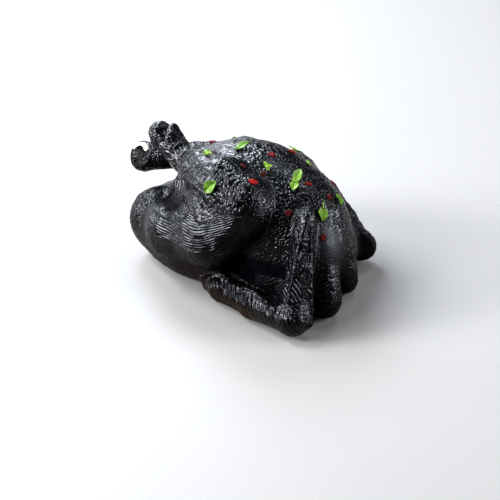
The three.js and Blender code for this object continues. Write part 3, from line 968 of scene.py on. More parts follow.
    def _arm_stripes(self, side: Side) -> Array:
        """Note the slanting rows of feather pits down the outside of a lower arm.

        Args:
            side: Which wing they are on.

        Returns:
            How much of them each point has.
        """
        facing = ramp(side.value * self.out_y, *self.stripe_facing)
        facing = facing * ramp(side.value * self.y, *self.stripe_side)
        weight = 1.3 * self.lower_arms * facing * ramp(self.z, *self.stripe_top)
        weight = weight * ramp(self.z, *self.stripe_foot)
        slip = 0.9 * self.warp + 0.3 * self.warp_fine
        at, out = side.carry(self.stripe_place), np.array((0.0, side.value, 0.0))
        self._flow(weight, at, unit(self.stripe_way), out, long=7.0, slip=slip, regular=0.85, spacing=3.2)
        return weight

    def _ankle_ridges(self) -> Array:
        """Note the ridges that run down the leg from the near hock.

        Returns:
            How much of them each point has.
        """
        start = np.array(self.ankle_start)
        along = unit(np.array(self.ankle_end) - start)
        weight = window((self.p - start) @ along, *self.ankle_reach)
        weight = weight * np.maximum(self.near_hock, self.near_leg)
        self._flow(weight, start, along, unit(self.ankle_out), long=3.5)
        return weight

    def _neck_wrinkles(self) -> Array:
        """Note the wrinkles across the lower end of the neck skin.

        Returns:
            How deep they are at each point.
        """
        weight = self.neck * window(self.z, *self.neck_height) * ramp(self.out_x, *self.neck_facing)
        self._flow(weight, np.array(self.neck_place), unit(self.neck_way), unit(self.neck_out), long=2.2)
        return 0.8 * weight

    def grain(self) -> tuple[Array, Array]:
        """The skin's wrinkles.

        Returns:
            For each point, the place to read a round pattern at so that it comes out drawn into wrinkles, and
            how deep the wrinkles are.
        """
        depths = [self._ankle_ridges(), self._neck_wrinkles()]
        for side in Side:
            rings, stripes = self._thigh_rings(side), self._arm_stripes(side)
            depths += [1.5 * rings, 1.1 * stripes]
            self.striped = np.maximum(self.striped, stripes)
            for patch in PATCHES:
                weight = patch.weight(self.p, self.out, side)
                along, out = side.turn(patch.along), side.turn(patch.out)
                slip = 0.4 * self.warp + 0.2 * self.warp_fine
                self._flow(weight, side.carry(patch.at), along, out, patch.long, slip, patch.regular)
                depths.append(weight * patch.strength)
        most = np.maximum.reduce([flow[0] for flow in self.flows])
        shares = [(flow[0] / np.maximum(most, 1e-6)) ** 14 for flow in self.flows]
        crowd = np.maximum(sum(shares), 1e-6)
        spread = ramp(most, 0.02, 0.14)
        place = self.p + 0.6 * np.stack([self.warp_fine, -self.warp, self.warp_fine + self.warp], 1)
        for share, (_, shift, travel, regular) in zip(shares, self.flows):
            place = place + (spread * share / crowd)[:, None] * shift
            self.line = self.line + share / crowd * travel
            self.regular = self.regular + spread * share / crowd * regular
        return place, np.maximum.reduce(depths)

    def cut(self) -> Array:
        """1 on the cut end of the far leg, 0 on skin.

        Returns:
            One value for each point.
        """
        middle, forward, _, _ = self.form.cut_axis()
        close = np.linalg.norm(self.p - middle, axis=1) < self.cut_reach
        on_face = ramp(np.abs(self.form.cut_face(self.p)), *self.cut_edge)
        return on_face * close * ramp(self.out @ forward, *self.cut_facing)

    def rim(self) -> Array:
        """1 on the skin's edge round the cut end, 0 elsewhere.

        Returns:
            One value for each point.
        """
        middle, forward, _, _ = self.form.cut_axis()
        q = self.p - middle
        ahead = q @ forward
        aside = np.linalg.norm(q - ahead[:, None] * forward, axis=1)
        ring = np.exp(-((aside - self.rim_radius) ** 2))
        return ring * window(ahead, *self.rim_ahead) * (aside < self.rim_outside)

    def knees(self) -> Array:
        """1 on the outer side of each knee, whose skin is taut."""
        away = [np.linalg.norm((self.p - side.carry(self.knee_at)) / self.knee_half, axis=1) for side in Side]
        return ramp(np.minimum(*away), *self.knee_edge)

    def panel(self) -> Array:
        """1 on the neck skin, where it is pulled taut and smooth."""
        return self.neck * ramp(self.z, *self.panel_height) * ramp(self.out_x, *self.panel_facing)

    def bare(self) -> Array:
        """How smooth the skin is: 1 on the neck's panel, less on the lower flank and the knees.

        Returns:
            One value for each point.
        """
        low, faces_down = ramp(self.z, *self.flank_height), ramp(self.out_z, *self.flank_facing)
        flank = low * faces_down * ramp(self.x, *self.flank_reach)
        return np.clip(np.maximum.reduce([self.panel(), 0.4 * flank, 0.35 * self.knees()]), 0.0, 1.0)

    def inward(self) -> Array:
        """1 where the skin faces the near side, 0 where it faces away from it."""
        return ramp(self.out_y, *self.inward_facing)

    def matt(self) -> Array:
        """How much rougher than wet skin the surface is: neck panel, pocket, far wing and upper drumstick.

        Returns:
            What is added to the roughness at each point.
        """
        far_wing = (0.1 + 0.45 * self.inward()) * self.far_wing
        sheen = 0.02 * self.near_leg * window(self.x, *self.sheen_reach) * ramp(self.z, *self.sheen_height)
        return np.maximum.reduce([0.3 * self.panel(), far_wing, sheen, 0.3 * self.pocket()])

    def painted_shade(self) -> Array:
        """Painted shade: how much of the skin's shine is taken away where shade falls, in its deep folds,
        underneath, on the cut end and on the far side.

        Returns:
            One value for each point, from 0 for wet skin to 1 where the skin is fully painted in shade.
        """
        far_wing = (0.3 + 0.55 * self.inward()) * self.far_wing
        hollow = self.hollow.lift(self.p, Side.NEAR)
        foot = 0.6 * self.neck * ramp(self.z, *self.foot_height)
        under = 0.5 * ramp(self.z, *self.under_height) * ramp(self.out_z, *self.under_facing)
        under = under * (1.0 - self.lower_arms)
        shelf = window(self.x, *self.shelf_reach) * window(self.z, *self.shelf_height)
        shelf = shelf * ramp(np.abs(self.y), *self.shelf_side)
        face = ramp(np.abs(self.out_y), *self.arm_facing) * ramp(self.z, *self.arm_height)
        face = face * ramp(self.x, *self.arm_reach)
        arm = 0.6 * self.lower_arms * face
        cut = 0.7 * self.cut()
        pocket = 0.96 * self.pocket() * (1.0 - shelf)
        web = 0.35 * self.near_web * ramp(self.z, *self.web_height)
        rear = 0.35 * ramp(self.x, *self.rear_reach) * ramp(self.z, *self.rear_height)
        return np.maximum.reduce([far_wing, pocket, hollow, foot, under, arm, web, rear, cut])

    def pocket(self) -> Array:
        """1 between the body and each folded wing."""
        inside = window(self.x, *self.pocket_reach) * ramp(self.z, *self.pocket_height)
        return inside * ramp(np.abs(self.y), *self.pocket_side) * ramp(self.lower_arms, *self.pocket_arm)

    def legs(self) -> Array:
        """1 on the upper side of the legs, whose skin is creased rather than pitted."""
        both = np.maximum(self.near_leg, self.far_leg)
        return np.clip(both * ramp(self.z, 52.0, 66.0), 0.0, 1.0) * (1.0 - self.cut()) * (1.0 - self.knees())

    def lift(self) -> Array:
        """How far each vertex is raised.

        Returns:
            One value in millimetres for each point.
        """
        calm = 1.0 - 0.8 * self.bare()
        rough = 0.45 * ripple(self.p, 17.0, 3.0) + 0.30 * ripple(self.p, 8.0, 4.0)
        rough = (rough + 0.20 * ripple(self.p, 3.8, 5.0)) * calm
        knobs = self.near_hock * (0.6 * ripple(self.p, 5.5, 6.0) + 0.4 * ripple(self.p, 3.2, 7.0))
        meat = self.cut() * 0.35 * ripple(self.p, 3.6, 8.0)
        seams = sum(seam.lift(self.p, side) for side in Side for seam in WING_SEAMS)
        seams = seams + sum(seam.lift(self.p, Side.NEAR) for seam in BODY_SEAMS)
        beads = sum(self._beads(side) for side in Side)
        return (rough + knobs + seams + beads) * self.above_floor + meat + 0.4 * self.rim()

    def _beads(self, side: Side) -> Array:
        """A row of swellings along the top of a lower arm.

        Args:
            side: Which wing they are on.

        Returns:
            How far they raise each point, in millimetres.
        """
        ridge = Seam(WING_SEAMS[0].line, 1.7, 0.9).lift(self.p, side)
        row = np.cos(2.0 * math.pi * (self.x + 0.5 * self.warp) / self.bead_spacing)
        return ridge * row * ramp(self.x, *self.bead_reach)

    def follicles(self) -> Array:
        """How thickly feather pits stand.

        Returns:
            One value for each point, from 0 to 1.
        """
        keep = (1.0 - self.bare()) * (1.0 - self.cut()) * (1.0 - 0.8 * self.near_hock)
        keep = keep * (1.0 - 0.9 * ramp(self.depth, 0.05, 0.35)) * (1.0 - 0.6 * self.legs())
        return np.clip(keep * ramp(self.z, 1.0, 4.0), 0.0, 1.0)

    def brown_reflection_and_fold(self) -> Array:
        """How much brown is painted: a painted reflection of a brown floor low on the sides, where the skin
        faces down, and brown on the narrow fold of the neck.

        Returns:
            One value for each point, from 0 to 1.
        """
        low = ramp(self.z, *self.warm_height) * ramp(self.out_z, *self.warm_facing) * (1.0 - self.pocket())
        low = low * (1.0 - 0.7 * np.maximum(self.neck, ramp(self.x, *self.warm_front)))
        fold = 0.6 * self.narrow * window(self.z, *self.warm_fold)
        return np.clip(np.maximum(low + 0.2 * self.warp * low, fold), 0.0, 1.0)


# Shader and geometry trees


class Bench:
    """A node tree, with one method that makes every node."""

    def __init__(self, tree: bpy.types.NodeTree) -> None:
        """Start from an empty tree."""
        self.tree = tree
        tree.nodes.clear()

    def node(self, kind: str, settings: dict[str, Any] | None = None, **sockets: Any) -> bpy.types.Node:
        """Make a node.

        Args:
            kind: The node's type, such as "ShaderNodeBump".
            settings: Its properties, set before its sockets.
            **sockets: Values or links by socket name, with spaces written as underscores, or by "i0", "i1".

        Returns:
            The node.
        """
        made = self.tree.nodes.new(kind)
        for name, value in (settings or {}).items():
            setattr(made, name, value)
        for name, value in sockets.items():
            numbered = name[0] == "i" and name[1:].isdigit()
            socket = made.inputs[int(name[1:])] if numbered else self._input(made, name)
            self.feed(socket, value)
        return made

    @staticmethod
    def _input(node: bpy.types.Node, name: str) -> Socket:
        """The node's enabled input of that name."""
        wanted = name.replace("_", " ")
        return next(s for s in node.inputs if s.name == wanted and s.enabled)

    def feed(self, socket: Socket, value: Any) -> None:
        """Set a socket to a value, or link it to another socket.

        Args:
            socket: The input.
            value: A plain value, a Signal or an output socket.
        """
        if isinstance(value, Signal):
            value = value.socket
        if isinstance(value, Socket):
            self.tree.links.new(value, socket)
        else:
            socket.default_value = value


class Signal:
    """A number in a shader, written in plain Python expressions."""

    def __init__(self, bench: Bench, socket: Socket) -> None:
        """Wrap a socket of a tree."""
        self.bench = bench
        self.socket = socket

    def _math(self, operation: str, *values: Any) -> "Signal":
        """A Math node on these values.

        Args:
            operation: What it does, such as ADD.
            *values: Numbers or Signals, in order.

        Returns:
            Its result.
        """
        sockets = {f"i{i}": value for i, value in enumerate(values)}
        made = self.bench.node("ShaderNodeMath", {"operation": operation}, **sockets)
        return Signal(self.bench, made.outputs[0])

    def __add__(self, other: Any) -> "Signal":
        """self + other."""
        return self._math("ADD", self, other)

    __radd__ = __add__

    def __sub__(self, other: Any) -> "Signal":
        """self - other."""
        return self._math("SUBTRACT", self, other)

    def __rsub__(self, other: Any) -> "Signal":
        """other - self."""
        return self._math("SUBTRACT", other, self)

    def __mul__(self, other: Any) -> "Signal":
        """self * other."""
        return self._math("MULTIPLY", self, other)

    __rmul__ = __mul__

    def __abs__(self) -> "Signal":
        """The size of self, without its sign."""
        return self._math("ABSOLUTE", self)

    def sine(self) -> "Signal":
        """The sine of self, in radians."""
        return self._math("SINE", self)

    def ramp(self, low: float, high: float) -> "Signal":
        """Rise smoothly from 0 at low to 1 at high.

        Args:
            low: Where the result is 0.
            high: Where the result is 1.

        Returns:
            The result, from 0 to 1.
        """
        made = self.bench.node(
            "ShaderNodeMapRange", {"interpolation_type": "SMOOTHSTEP"},
            Value=self, From_Min=low, From_Max=high, To_Min=0.0, To_Max=1.0,
        )
        return Signal(self.bench, made.outputs["Result"])


class ShaderBench(Bench):
    """The node tree of one material."""

    def __init__(self, name: str) -> None:
        """Make the material, with a Principled shader that is still plain.

        Args:
            name: The material's name.
        """
        self.material = bpy.data.materials.new(name)
        self.material.use_nodes = True
        super().__init__(self.material.node_tree)
        self.shader = self.node("ShaderNodeBsdfPrincipled")
        self.output = self.node("ShaderNodeOutputMaterial", Surface=self.shader.outputs[0])
        where = self.node("ShaderNodeTexCoord").outputs["Object"]
        scaled = self.node("ShaderNodeVectorMath", {"operation": "SCALE"}, Vector=where, Scale=1.0 / MM)
        self.place = scaled.outputs[0]

    def attribute(self, name: str) -> Signal:
        """A number that the mesh carries at its vertices."""
        made = self.node("ShaderNodeAttribute", {"attribute_name": name})
        return Signal(self, made.outputs["Fac"])

    def places(self, name: str) -> Socket:
        """The places that the mesh carries at its vertices."""
        return self.node("ShaderNodeAttribute", {"attribute_name": name}).outputs["Vector"]

    def noise(self, size: float, detail: float = 2.0, seed: float = 0.0, at: Any = None) -> Signal:
        """Soft unevenness from 0 to 1, with humps of that many millimetres.

        Args:
            size: The width of a hump.
            detail: How many finer layers it has.
            seed: Shifts the pattern.
            at: Where to read it, or None for the object's own places.

        Returns:
            The unevenness.
        """
        place = self.node(
            "ShaderNodeVectorMath", {"operation": "ADD"}, i0=at or self.place, i1=(seed * 31.0,) * 3
        )
        made = self.node(
            "ShaderNodeTexNoise", Vector=place.outputs[0], Scale=1.0 / size, Detail=detail, Roughness=0.55
        )
        return Signal(self, made.outputs[0])

    def cells(self, size: float, at: Any = None, uneven: float = 1.0) -> Signal:
        """The distance to the nearest cell's middle, measured in cells of that many millimetres."""
        made = self.node("ShaderNodeTexVoronoi", Vector=at or self.place, Scale=1.0 / size, Randomness=uneven)
        return Signal(self, made.outputs["Distance"])

    def mix(self, share: Any, a: Any, b: Any) -> Socket:
        """A colour between a, at share 0, and b, at share 1, where each is a colour or a socket."""
        made = self.node("ShaderNodeMix", {"data_type": "RGBA"}, Factor=share, i6=a, i7=b)
        return made.outputs[2]

    def bump(self, height: Signal) -> Socket:
        """A normal from a height in millimetres."""
        made = self.node("ShaderNodeBump", Strength=1.0, Distance=MM, Height=height)
        return made.outputs["Normal"]

    def fade(self, share: Signal, tone: Socket) -> None:
        """Paint shade: let the finish give way to a dark one without shine, of that colour, where share is
        high.

        Args:
            share: How much painted shade there is.
            tone: Its colour.
        """
        painted_shade = self.node("ShaderNodeBsdfPrincipled", Base_Color=tone, Roughness=1.0, Specular_IOR_Level=0.0)
        both = self.node("ShaderNodeMixShader", i0=share, i1=self.shader.outputs[0], i2=painted_shade.outputs[0])
        self.feed(self.output.inputs["Surface"], both.outputs[0])

    def dress(self, **sockets: Any) -> Finish:
        """Feed the shader's sockets, and return the material.

        Args:
            **sockets: Values or links by socket name, with spaces written as underscores.

        Returns:
            The material.
        """
        for name, value in sockets.items():
            self.feed(self._input(self.shader, name), value)
        return self.material


def colour(red: float, green: float, blue: float) -> tuple[float, float, float, float]:
    """A colour with full cover."""
    return (red, green, blue, 1.0)


@dataclass(frozen=True)
class WetBlackSkin:
    """Wet black skin with blue-grey lights, a painted brown floor reflection low down, a painted grey sheen
    on the neck's panel, painted shade in its folds and purple-black where it is cut.

    The sizes of its patterns and the heights of its bumps are in millimetres.
    """

    black: tuple = colour(0.0007, 0.0007, 0.0010)
    lit: tuple = colour(0.0017, 0.0019, 0.0030)
    # Painted reflection: the brown that a brown floor gives low on the sides, also used on the narrow fold
    brown: tuple = colour(0.0130, 0.0070, 0.0038)
    # Painted reflection: brown on the crests of the lower arms' stripes
    painted_crest_brown: tuple = colour(0.0185, 0.0118, 0.0078)
    meat: tuple = colour(0.0016, 0.0009, 0.0012)
    # Painted sheen: the grey-blue of the neck panel's broad sheen
    painted_sheen_grey: tuple = colour(0.0130, 0.0136, 0.0160)
    # How much of the painted brown reflection and of the painted panel sheen is mixed in
    brown_share: float = 0.42
    painted_sheen_share: float = 0.8
    wrinkle_size: float = 1.6
    pore_size: float = 2.2
    speck_size: float = 1.45
    hump_size: float = 4.5
    thread_size: float = 2.6
    patch_size: float = 11.0
    ridge_height: float = 0.56
    pore_height: float = 0.42
    thread_height: float = 0.30
    hump_height: float = 0.30
    speck_height: float = 0.15
    wet_roughness: float = 0.15
    patch_roughness: float = 0.10
    # Roughness added where the painted shade is deepest
    painted_shade_roughness: float = 0.5
    refraction: float = 1.24

    def material(self) -> Finish:
        """Build the finish.

        Returns:
            The material.
        """
        b = ShaderBench("black_skin")
        grain = b.places("grain")
        wrinkled = b.attribute("wrinkled")
        bare = b.attribute("bare")
        regular = b.attribute("regular")
        wrinkles = 1.0 - b.cells(self.wrinkle_size, grain, uneven=0.95).ramp(0.05, 0.72)
        wave = ((b.attribute("line") * (2.0 * math.pi)).sine() + 1.0) * 0.5
        pores = 1.0 - b.cells(self.pore_size, grain, uneven=0.85).ramp(0.10, 0.50)
        specks = 1.0 - b.cells(self.speck_size, uneven=0.9).ramp(0.1, 0.6)
        humps = b.noise(self.hump_size, detail=2.0, seed=1.0)
        threads = b.noise(self.thread_size, detail=1.0, seed=3.0, at=grain)
        patches = b.noise(self.patch_size, detail=3.0, seed=2.0)
        ridges = wrinkles * (1.0 - 0.7 * regular) + regular * wave * (0.15 + 1.2 * threads)
        plain = (1.0 - wrinkled) * (1.0 - 0.8 * bare)
        height = self.ridge_height * (ridges * wrinkled) + self.pore_height * (pores * plain)
        height = height + self.thread_height * (threads * wrinkled)
        grit = self.hump_height * humps + self.speck_height * specks * (1.0 - wrinkled)
        height = height + grit * (1.0 - 0.6 * bare)
        tone = b.mix(humps.ramp(0.35, 0.7), self.black, self.lit)
        # Painted sheen: the smooth neck panel is made grey-blue for its broad sheen
        tone = b.mix(bare.ramp(0.45, 1.0) * self.painted_sheen_share, tone, self.painted_sheen_grey)
        # Painted reflection of a brown floor low on the sides, and brown on the narrow fold
        tone = b.mix(b.attribute("brown_reflection_and_fold") * self.brown_share, tone, self.brown)
        # Painted reflection: brown on the crests of the stripes, where the painted brown reflection lies
        tone = b.mix(b.attribute("striped") * (wave * threads).ramp(0.2, 0.6), tone, self.painted_crest_brown)
        tone = b.mix(b.attribute("cut"), tone, self.meat)
        # Painted shade: where shade falls in folds, underneath and on the far side, the shine gives way to a
        # dark finish, and the skin is made rougher there
        painted_shade = b.attribute("painted_shade")
        rough = self.wet_roughness + self.patch_roughness * patches.ramp(0.3, 0.75) + b.attribute("matt")
        rough = rough + self.painted_shade_roughness * painted_shade.ramp(0.7, 1.0)
        b.fade(painted_shade, tone)
        return b.dress(Base_Color=tone, Roughness=rough, Normal=b.bump(height), IOR=self.refraction)


@dataclass(frozen=True)
class PaleSkin:
    """Thin grey skin that light shows through."""

    grey: tuple = colour(0.050, 0.047, 0.050)

    def material(self) -> Finish:
        """Build the finish."""
        b = ShaderBench("pale_skin")
        return b.dress(Base_Color=self.grey, Roughness=0.3 + 0.2 * b.noise(2.0, 2.0))


# A leaf's side veins: how many pairs fit along it, and how many places they lean forward towards its edge
VEIN_PAIRS = 5.5
VEIN_LEAN = 1.5


@dataclass(frozen=True)
class FreshLeaf:
    """A fresh basil leaf with pale veins."""

    deep: tuple = colour(0.017, 0.055, 0.002)
    bright: tuple = colour(0.078, 0.138, 0.005)
    vein: tuple = colour(0.088, 0.150, 0.011)

    def material(self) -> Finish:
        """Build the finish. Its veins follow the leaf's own map: u along, v across.

        Returns:
            The material.
        """
        b = ShaderBench("basil_leaf")
        young = b.attribute("young")
        along = b.attribute("along")
        across = abs(b.attribute("across"))
        side = abs(((along * VEIN_PAIRS - across * VEIN_LEAN) * math.pi).sine())
        veins = (1.0 - side.ramp(0.0, 0.22)) * 0.55
        midrib = 1.0 - across.ramp(0.02, 0.10)
        lines = (veins + midrib).ramp(0.0, 1.0)
        mottle = b.noise(2.4, 3.0)
        tone = b.mix(young * 0.85 + 0.25 * mottle.ramp(0.4, 0.7), self.deep, self.bright)
        tone = b.mix(lines * 0.7, tone, self.vein)
        height = 0.10 * b.noise(0.8, 2.0) - 0.22 * lines
        return b.dress(
            Base_Color=tone,
            Roughness=0.36 + 0.16 * mottle,
            Normal=b.bump(height),
            Specular_IOR_Level=0.2,
        )


@dataclass(frozen=True)
class DriedChilli:
    """Dried red chilli, from dark to bright."""

    dark: tuple = colour(0.010, 0.001, 0.001)
    red: tuple = colour(0.17, 0.003, 0.002)
    pith: tuple = colour(0.13, 0.020, 0.006)

    def material(self) -> Finish:
        """Build the finish. A chip's brightness comes with it.

        Returns:
            The material.
        """
        b = ShaderBench("chilli")
        bright = b.attribute("bright")
        mottle = b.noise(1.6, 3.0)
        tone = b.mix(bright * mottle.ramp(0.2, 0.7), self.dark, self.red)
        tone = b.mix(bright * b.noise(1.7, 2.0, 3.0).ramp(0.6, 0.75) * 0.6, tone, self.pith)
        return b.dress(
            Base_Color=tone,
            Roughness=0.42 + 0.25 * mottle,
            Normal=b.bump(0.3 * b.noise(0.9, 3.0)),
            Specular_IOR_Level=0.06,
        )


@dataclass(frozen=True)
class Cartilage:
    """Moist white cartilage, a little pink where it meets the meat."""

    white: tuple = colour(0.80, 0.76, 0.68)
    pink: tuple = colour(0.55, 0.26, 0.20)

    def material(self) -> Finish:
        """Build the finish.

        Returns:
            The material.
        """
        b = ShaderBench("cartilage")
        stain = b.noise(3.0, 3.0).ramp(0.52, 0.75)
        return b.dress(
            Base_Color=b.mix(stain * 0.6, self.white, self.pink),
            Roughness=0.28 + 0.15 * stain,
            Normal=b.bump(0.25 * b.noise(1.3, 3.0)),
            Coat_Weight=0.35,
            Coat_Roughness=0.12,
        )


@dataclass(frozen=True)
class PaleFloor:
    """A plain pale floor."""

    tone: tuple = colour(0.142, 0.137, 0.130)

    def material(self) -> Finish:
        """Build the finish."""
        b = ShaderBench("pale_floor")
        return b.dress(Base_Color=self.tone, Roughness=0.7, Specular_IOR_Level=0.2)


class GeometryBench(Bench):
    """A Geometry Nodes tree with named inputs, which ends in Realize Instances and Set Material."""

    KINDS = {
        "Geometry": "NodeSocketGeometry",
        "Object": "NodeSocketObject",
        "Material": "NodeSocketMaterial",
        "Float": "NodeSocketFloat",
        "Int": "NodeSocketInt",
    }

    def __init__(self, name: str, inputs: dict[str, str]) -> None:
        """Make the tree and its named inputs.

        Args:
            name: The tree's name.
            inputs: Each input's kind by its name.
        """
        super().__init__(bpy.data.node_groups.new(name, "GeometryNodeTree"))
        interface = self.tree.interface
        interface.new_socket("Geometry", in_out="OUTPUT", socket_type="NodeSocketGeometry")
        interface.new_socket("Geometry", in_out="INPUT", socket_type="NodeSocketGeometry")
        for label, kind in inputs.items():
            interface.new_socket(label, in_out="INPUT", socket_type=self.KINDS[kind])
        self.source = self.node("NodeGroupInput")

    def given(self, label: str) -> Socket:
        """One of the tree's inputs."""
        return self.source.outputs[label]

    def named(self, label: str, kind: str) -> Socket:
        """An attribute of the geometry."""
        made = self.node("GeometryNodeInputNamedAttribute", {"data_type": kind}, Name=label)
        return next(s for s in made.outputs if s.enabled and s.name == "Attribute")

    def set_on_points(self, what: Socket) -> Socket:
        """Set something on each given point, turned and sized as the point says.

        Args:
            what: The geometry to set there.

        Returns:
            The instances.
        """
        turn = self.node("FunctionNodeEulerToRotation", Euler=self.named("turn", "FLOAT_VECTOR"))
        placed = self.node(
            "GeometryNodeInstanceOnPoints", Points=self.given("Geometry"), Instance=what,
            Rotation=turn.outputs[0], Scale=self.named("size", "FLOAT_VECTOR"),
        )
        return placed.outputs[0]

    def end(self, instances: Socket) -> None:
        """Turn the instances into a mesh, give it the material and put it out."""
        real = self.node("GeometryNodeRealizeInstances", Geometry=instances)
        self.end_mesh(real.outputs[0])

    def end_mesh(self, mesh: Socket) -> None:
        """Smooth the mesh, give it the material and put it out.

        Args:
            mesh: What to dress.
        """
        smooth = self.node("GeometryNodeSetShadeSmooth", Geometry=mesh)
        dressed = self.node(
            "GeometryNodeSetMaterial", Geometry=smooth.outputs[0], Material=self.given("Material")
        )
        self.node("NodeGroupOutput", Geometry=dressed.outputs[0])

    def run(self, carrier: Piece, name: str, **inputs: Any) -> Piece:
        """Run the tree on an object.

        Args:
            carrier: The object whose mesh the tree starts from.
            name: The new piece's name.
            **inputs: The tree's inputs by name.

        Returns:
            A plain mesh object. The carrier keeps its mesh and loses the modifier.
        """
        modifier = carrier.modifiers.new(name, "NODES")
        modifier.node_group = self.tree
        for item in self.tree.interface.items_tree:
            if item.in_out == "INPUT" and item.name in inputs:
                modifier[item.identifier] = inputs[item.name]
        graph = bpy.context.evaluated_depsgraph_get()
        mesh = bpy.data.meshes.new_from_object(carrier.evaluated_get(graph))
        carrier.modifiers.remove(modifier)
        mesh.name = name
        return add_object(name, mesh)


# The pieces


@dataclass
class Skin:
    """The bird's skin: one closed net, wrinkled where the real skin is, with feather pits standing on it."""

    form: BirdForm
    low: Triple = (-92.0, -80.0, -3.0)
    high: Triple = (107.0, 66.0, 106.0)
    cell: float = 1.0
    quick_cell: float = 1.8
    pit_spacing: float = 2.5
    pit_radius: float = 1.0
    pit_height: float = 0.26
    pit_density: float = 4e5
    pit_scale: Span = (0.65, 1.25)
    smoothing: int = 4
    seed: int = 11
    relief: SkinRelief | None = field(default=None, init=False)

    def build(self) -> Piece:
        """Make the skin with its wrinkles and the numbers that its finish reads.

        Returns:
            The skin.
        """
        net = SkinNet(self.form, self.low, self.high, self.cell)
        net.relax(self.smoothing)
        relief = SkinRelief(self.form, net.points, net.normals(net.points))
        raised = net.points + relief.out * relief.lift()[:, None]
        raised[:, 2] = np.maximum(raised[:, 2], 0.0)
        skin = mesh_object("skin", (raised - MIDDLE) * MM, net.faces)
        numbers = {
            "grain": relief.place,
            "wrinkled": np.maximum(relief.depth, 0.8 * relief.legs()) * (1.0 - relief.cut()),
            "line": relief.line,
            "regular": relief.regular,
            # the lower arms' stripes, only where the painted brown reflection is, for the painted brown on
            # their crests
            "striped": relief.striped * relief.brown_reflection_and_fold(),
            "matt": relief.matt(),
            # painted shade: where the skin's shine is taken away in folds, underneath and on the far side
            "painted_shade": relief.painted_shade(),
            "bare": relief.bare(),
            "cut": relief.cut(),
            # the painted brown floor reflection low on the sides, and the narrow fold's brown
            "brown_reflection_and_fold": relief.brown_reflection_and_fold(),
            "follicles": relief.follicles(),
        }
        for name, values in numbers.items():
            write_attribute(skin, name, values)
        self.relief = relief
        return skin

    def pit(self) -> Piece:
        """One feather pit: a small round swelling.

        Returns:
            The swelling, with its foot at the origin.
        """
        sides = 6
        rings = [(1.0, -0.45), (0.5, 0.62)]
        points = [(0.0, 0.0, 1.0)]
        for radius, height in reversed(rings):
            for i in range(sides):
                angle = 2 * math.pi * (i + 0.5 * (radius < 1.0)) / sides
                points.append((radius * math.cos(angle), radius * math.sin(angle), height))
        faces = [[0, 1 + i, 1 + (i + 1) % sides] for i in range(sides)]
        for i in range(sides):
            inner, inner_next = 1 + i, 1 + (i + 1) % sides
            outer, outer_next = inner + sides, inner_next + sides
            faces += [[inner, outer, outer_next], [inner, outer_next, inner_next]]
        size = np.array([self.pit_radius, self.pit_radius, self.pit_height]) * MM
        return mesh_object("pit", np.array(points) * size, faces)

    def pits(self, skin: Piece, material: Finish) -> Piece:
        """Strew feather pits over the skin, thickly where it says so.

        Args:
            skin: The skin.
            material: The pits' finish.

        Returns:
            All the pits as one mesh.
        """
        inputs = {"Pit": "Object", "Spacing": "Float", "Seed": "Int", "Material": "Material"}
        tree = GeometryBench("feather_pits", inputs)
        strewn = tree.node(
            "GeometryNodeDistributePointsOnFaces", {"distribute_method": "POISSON"},
            Mesh=tree.given("Geometry"), Distance_Min=tree.given("Spacing"), Density_Max=self.pit_density,
            Density_Factor=tree.named("follicles", "FLOAT"), Seed=tree.given("Seed"),
        )
        one = tree.node("GeometryNodeObjectInfo", Object=tree.given("Pit"))
        size = tree.node(
            "FunctionNodeRandomValue", {"data_type": "FLOAT"},
            i2=self.pit_scale[0], i3=self.pit_scale[1], Seed=tree.given("Seed"),
        )
        placed = tree.node(
            "GeometryNodeInstanceOnPoints", Points=strewn.outputs["Points"],
            Instance=one.outputs["Geometry"], Rotation=strewn.outputs["Rotation"], Scale=size.outputs[1],
        )
        tree.end(placed.outputs[0])
        pit = self.pit()
        made = tree.run(
            skin, "feather_pits", Pit=pit, Spacing=self.pit_spacing * MM, Seed=self.seed, Material=material
        )
        bpy.data.objects.remove(pit)
        return made


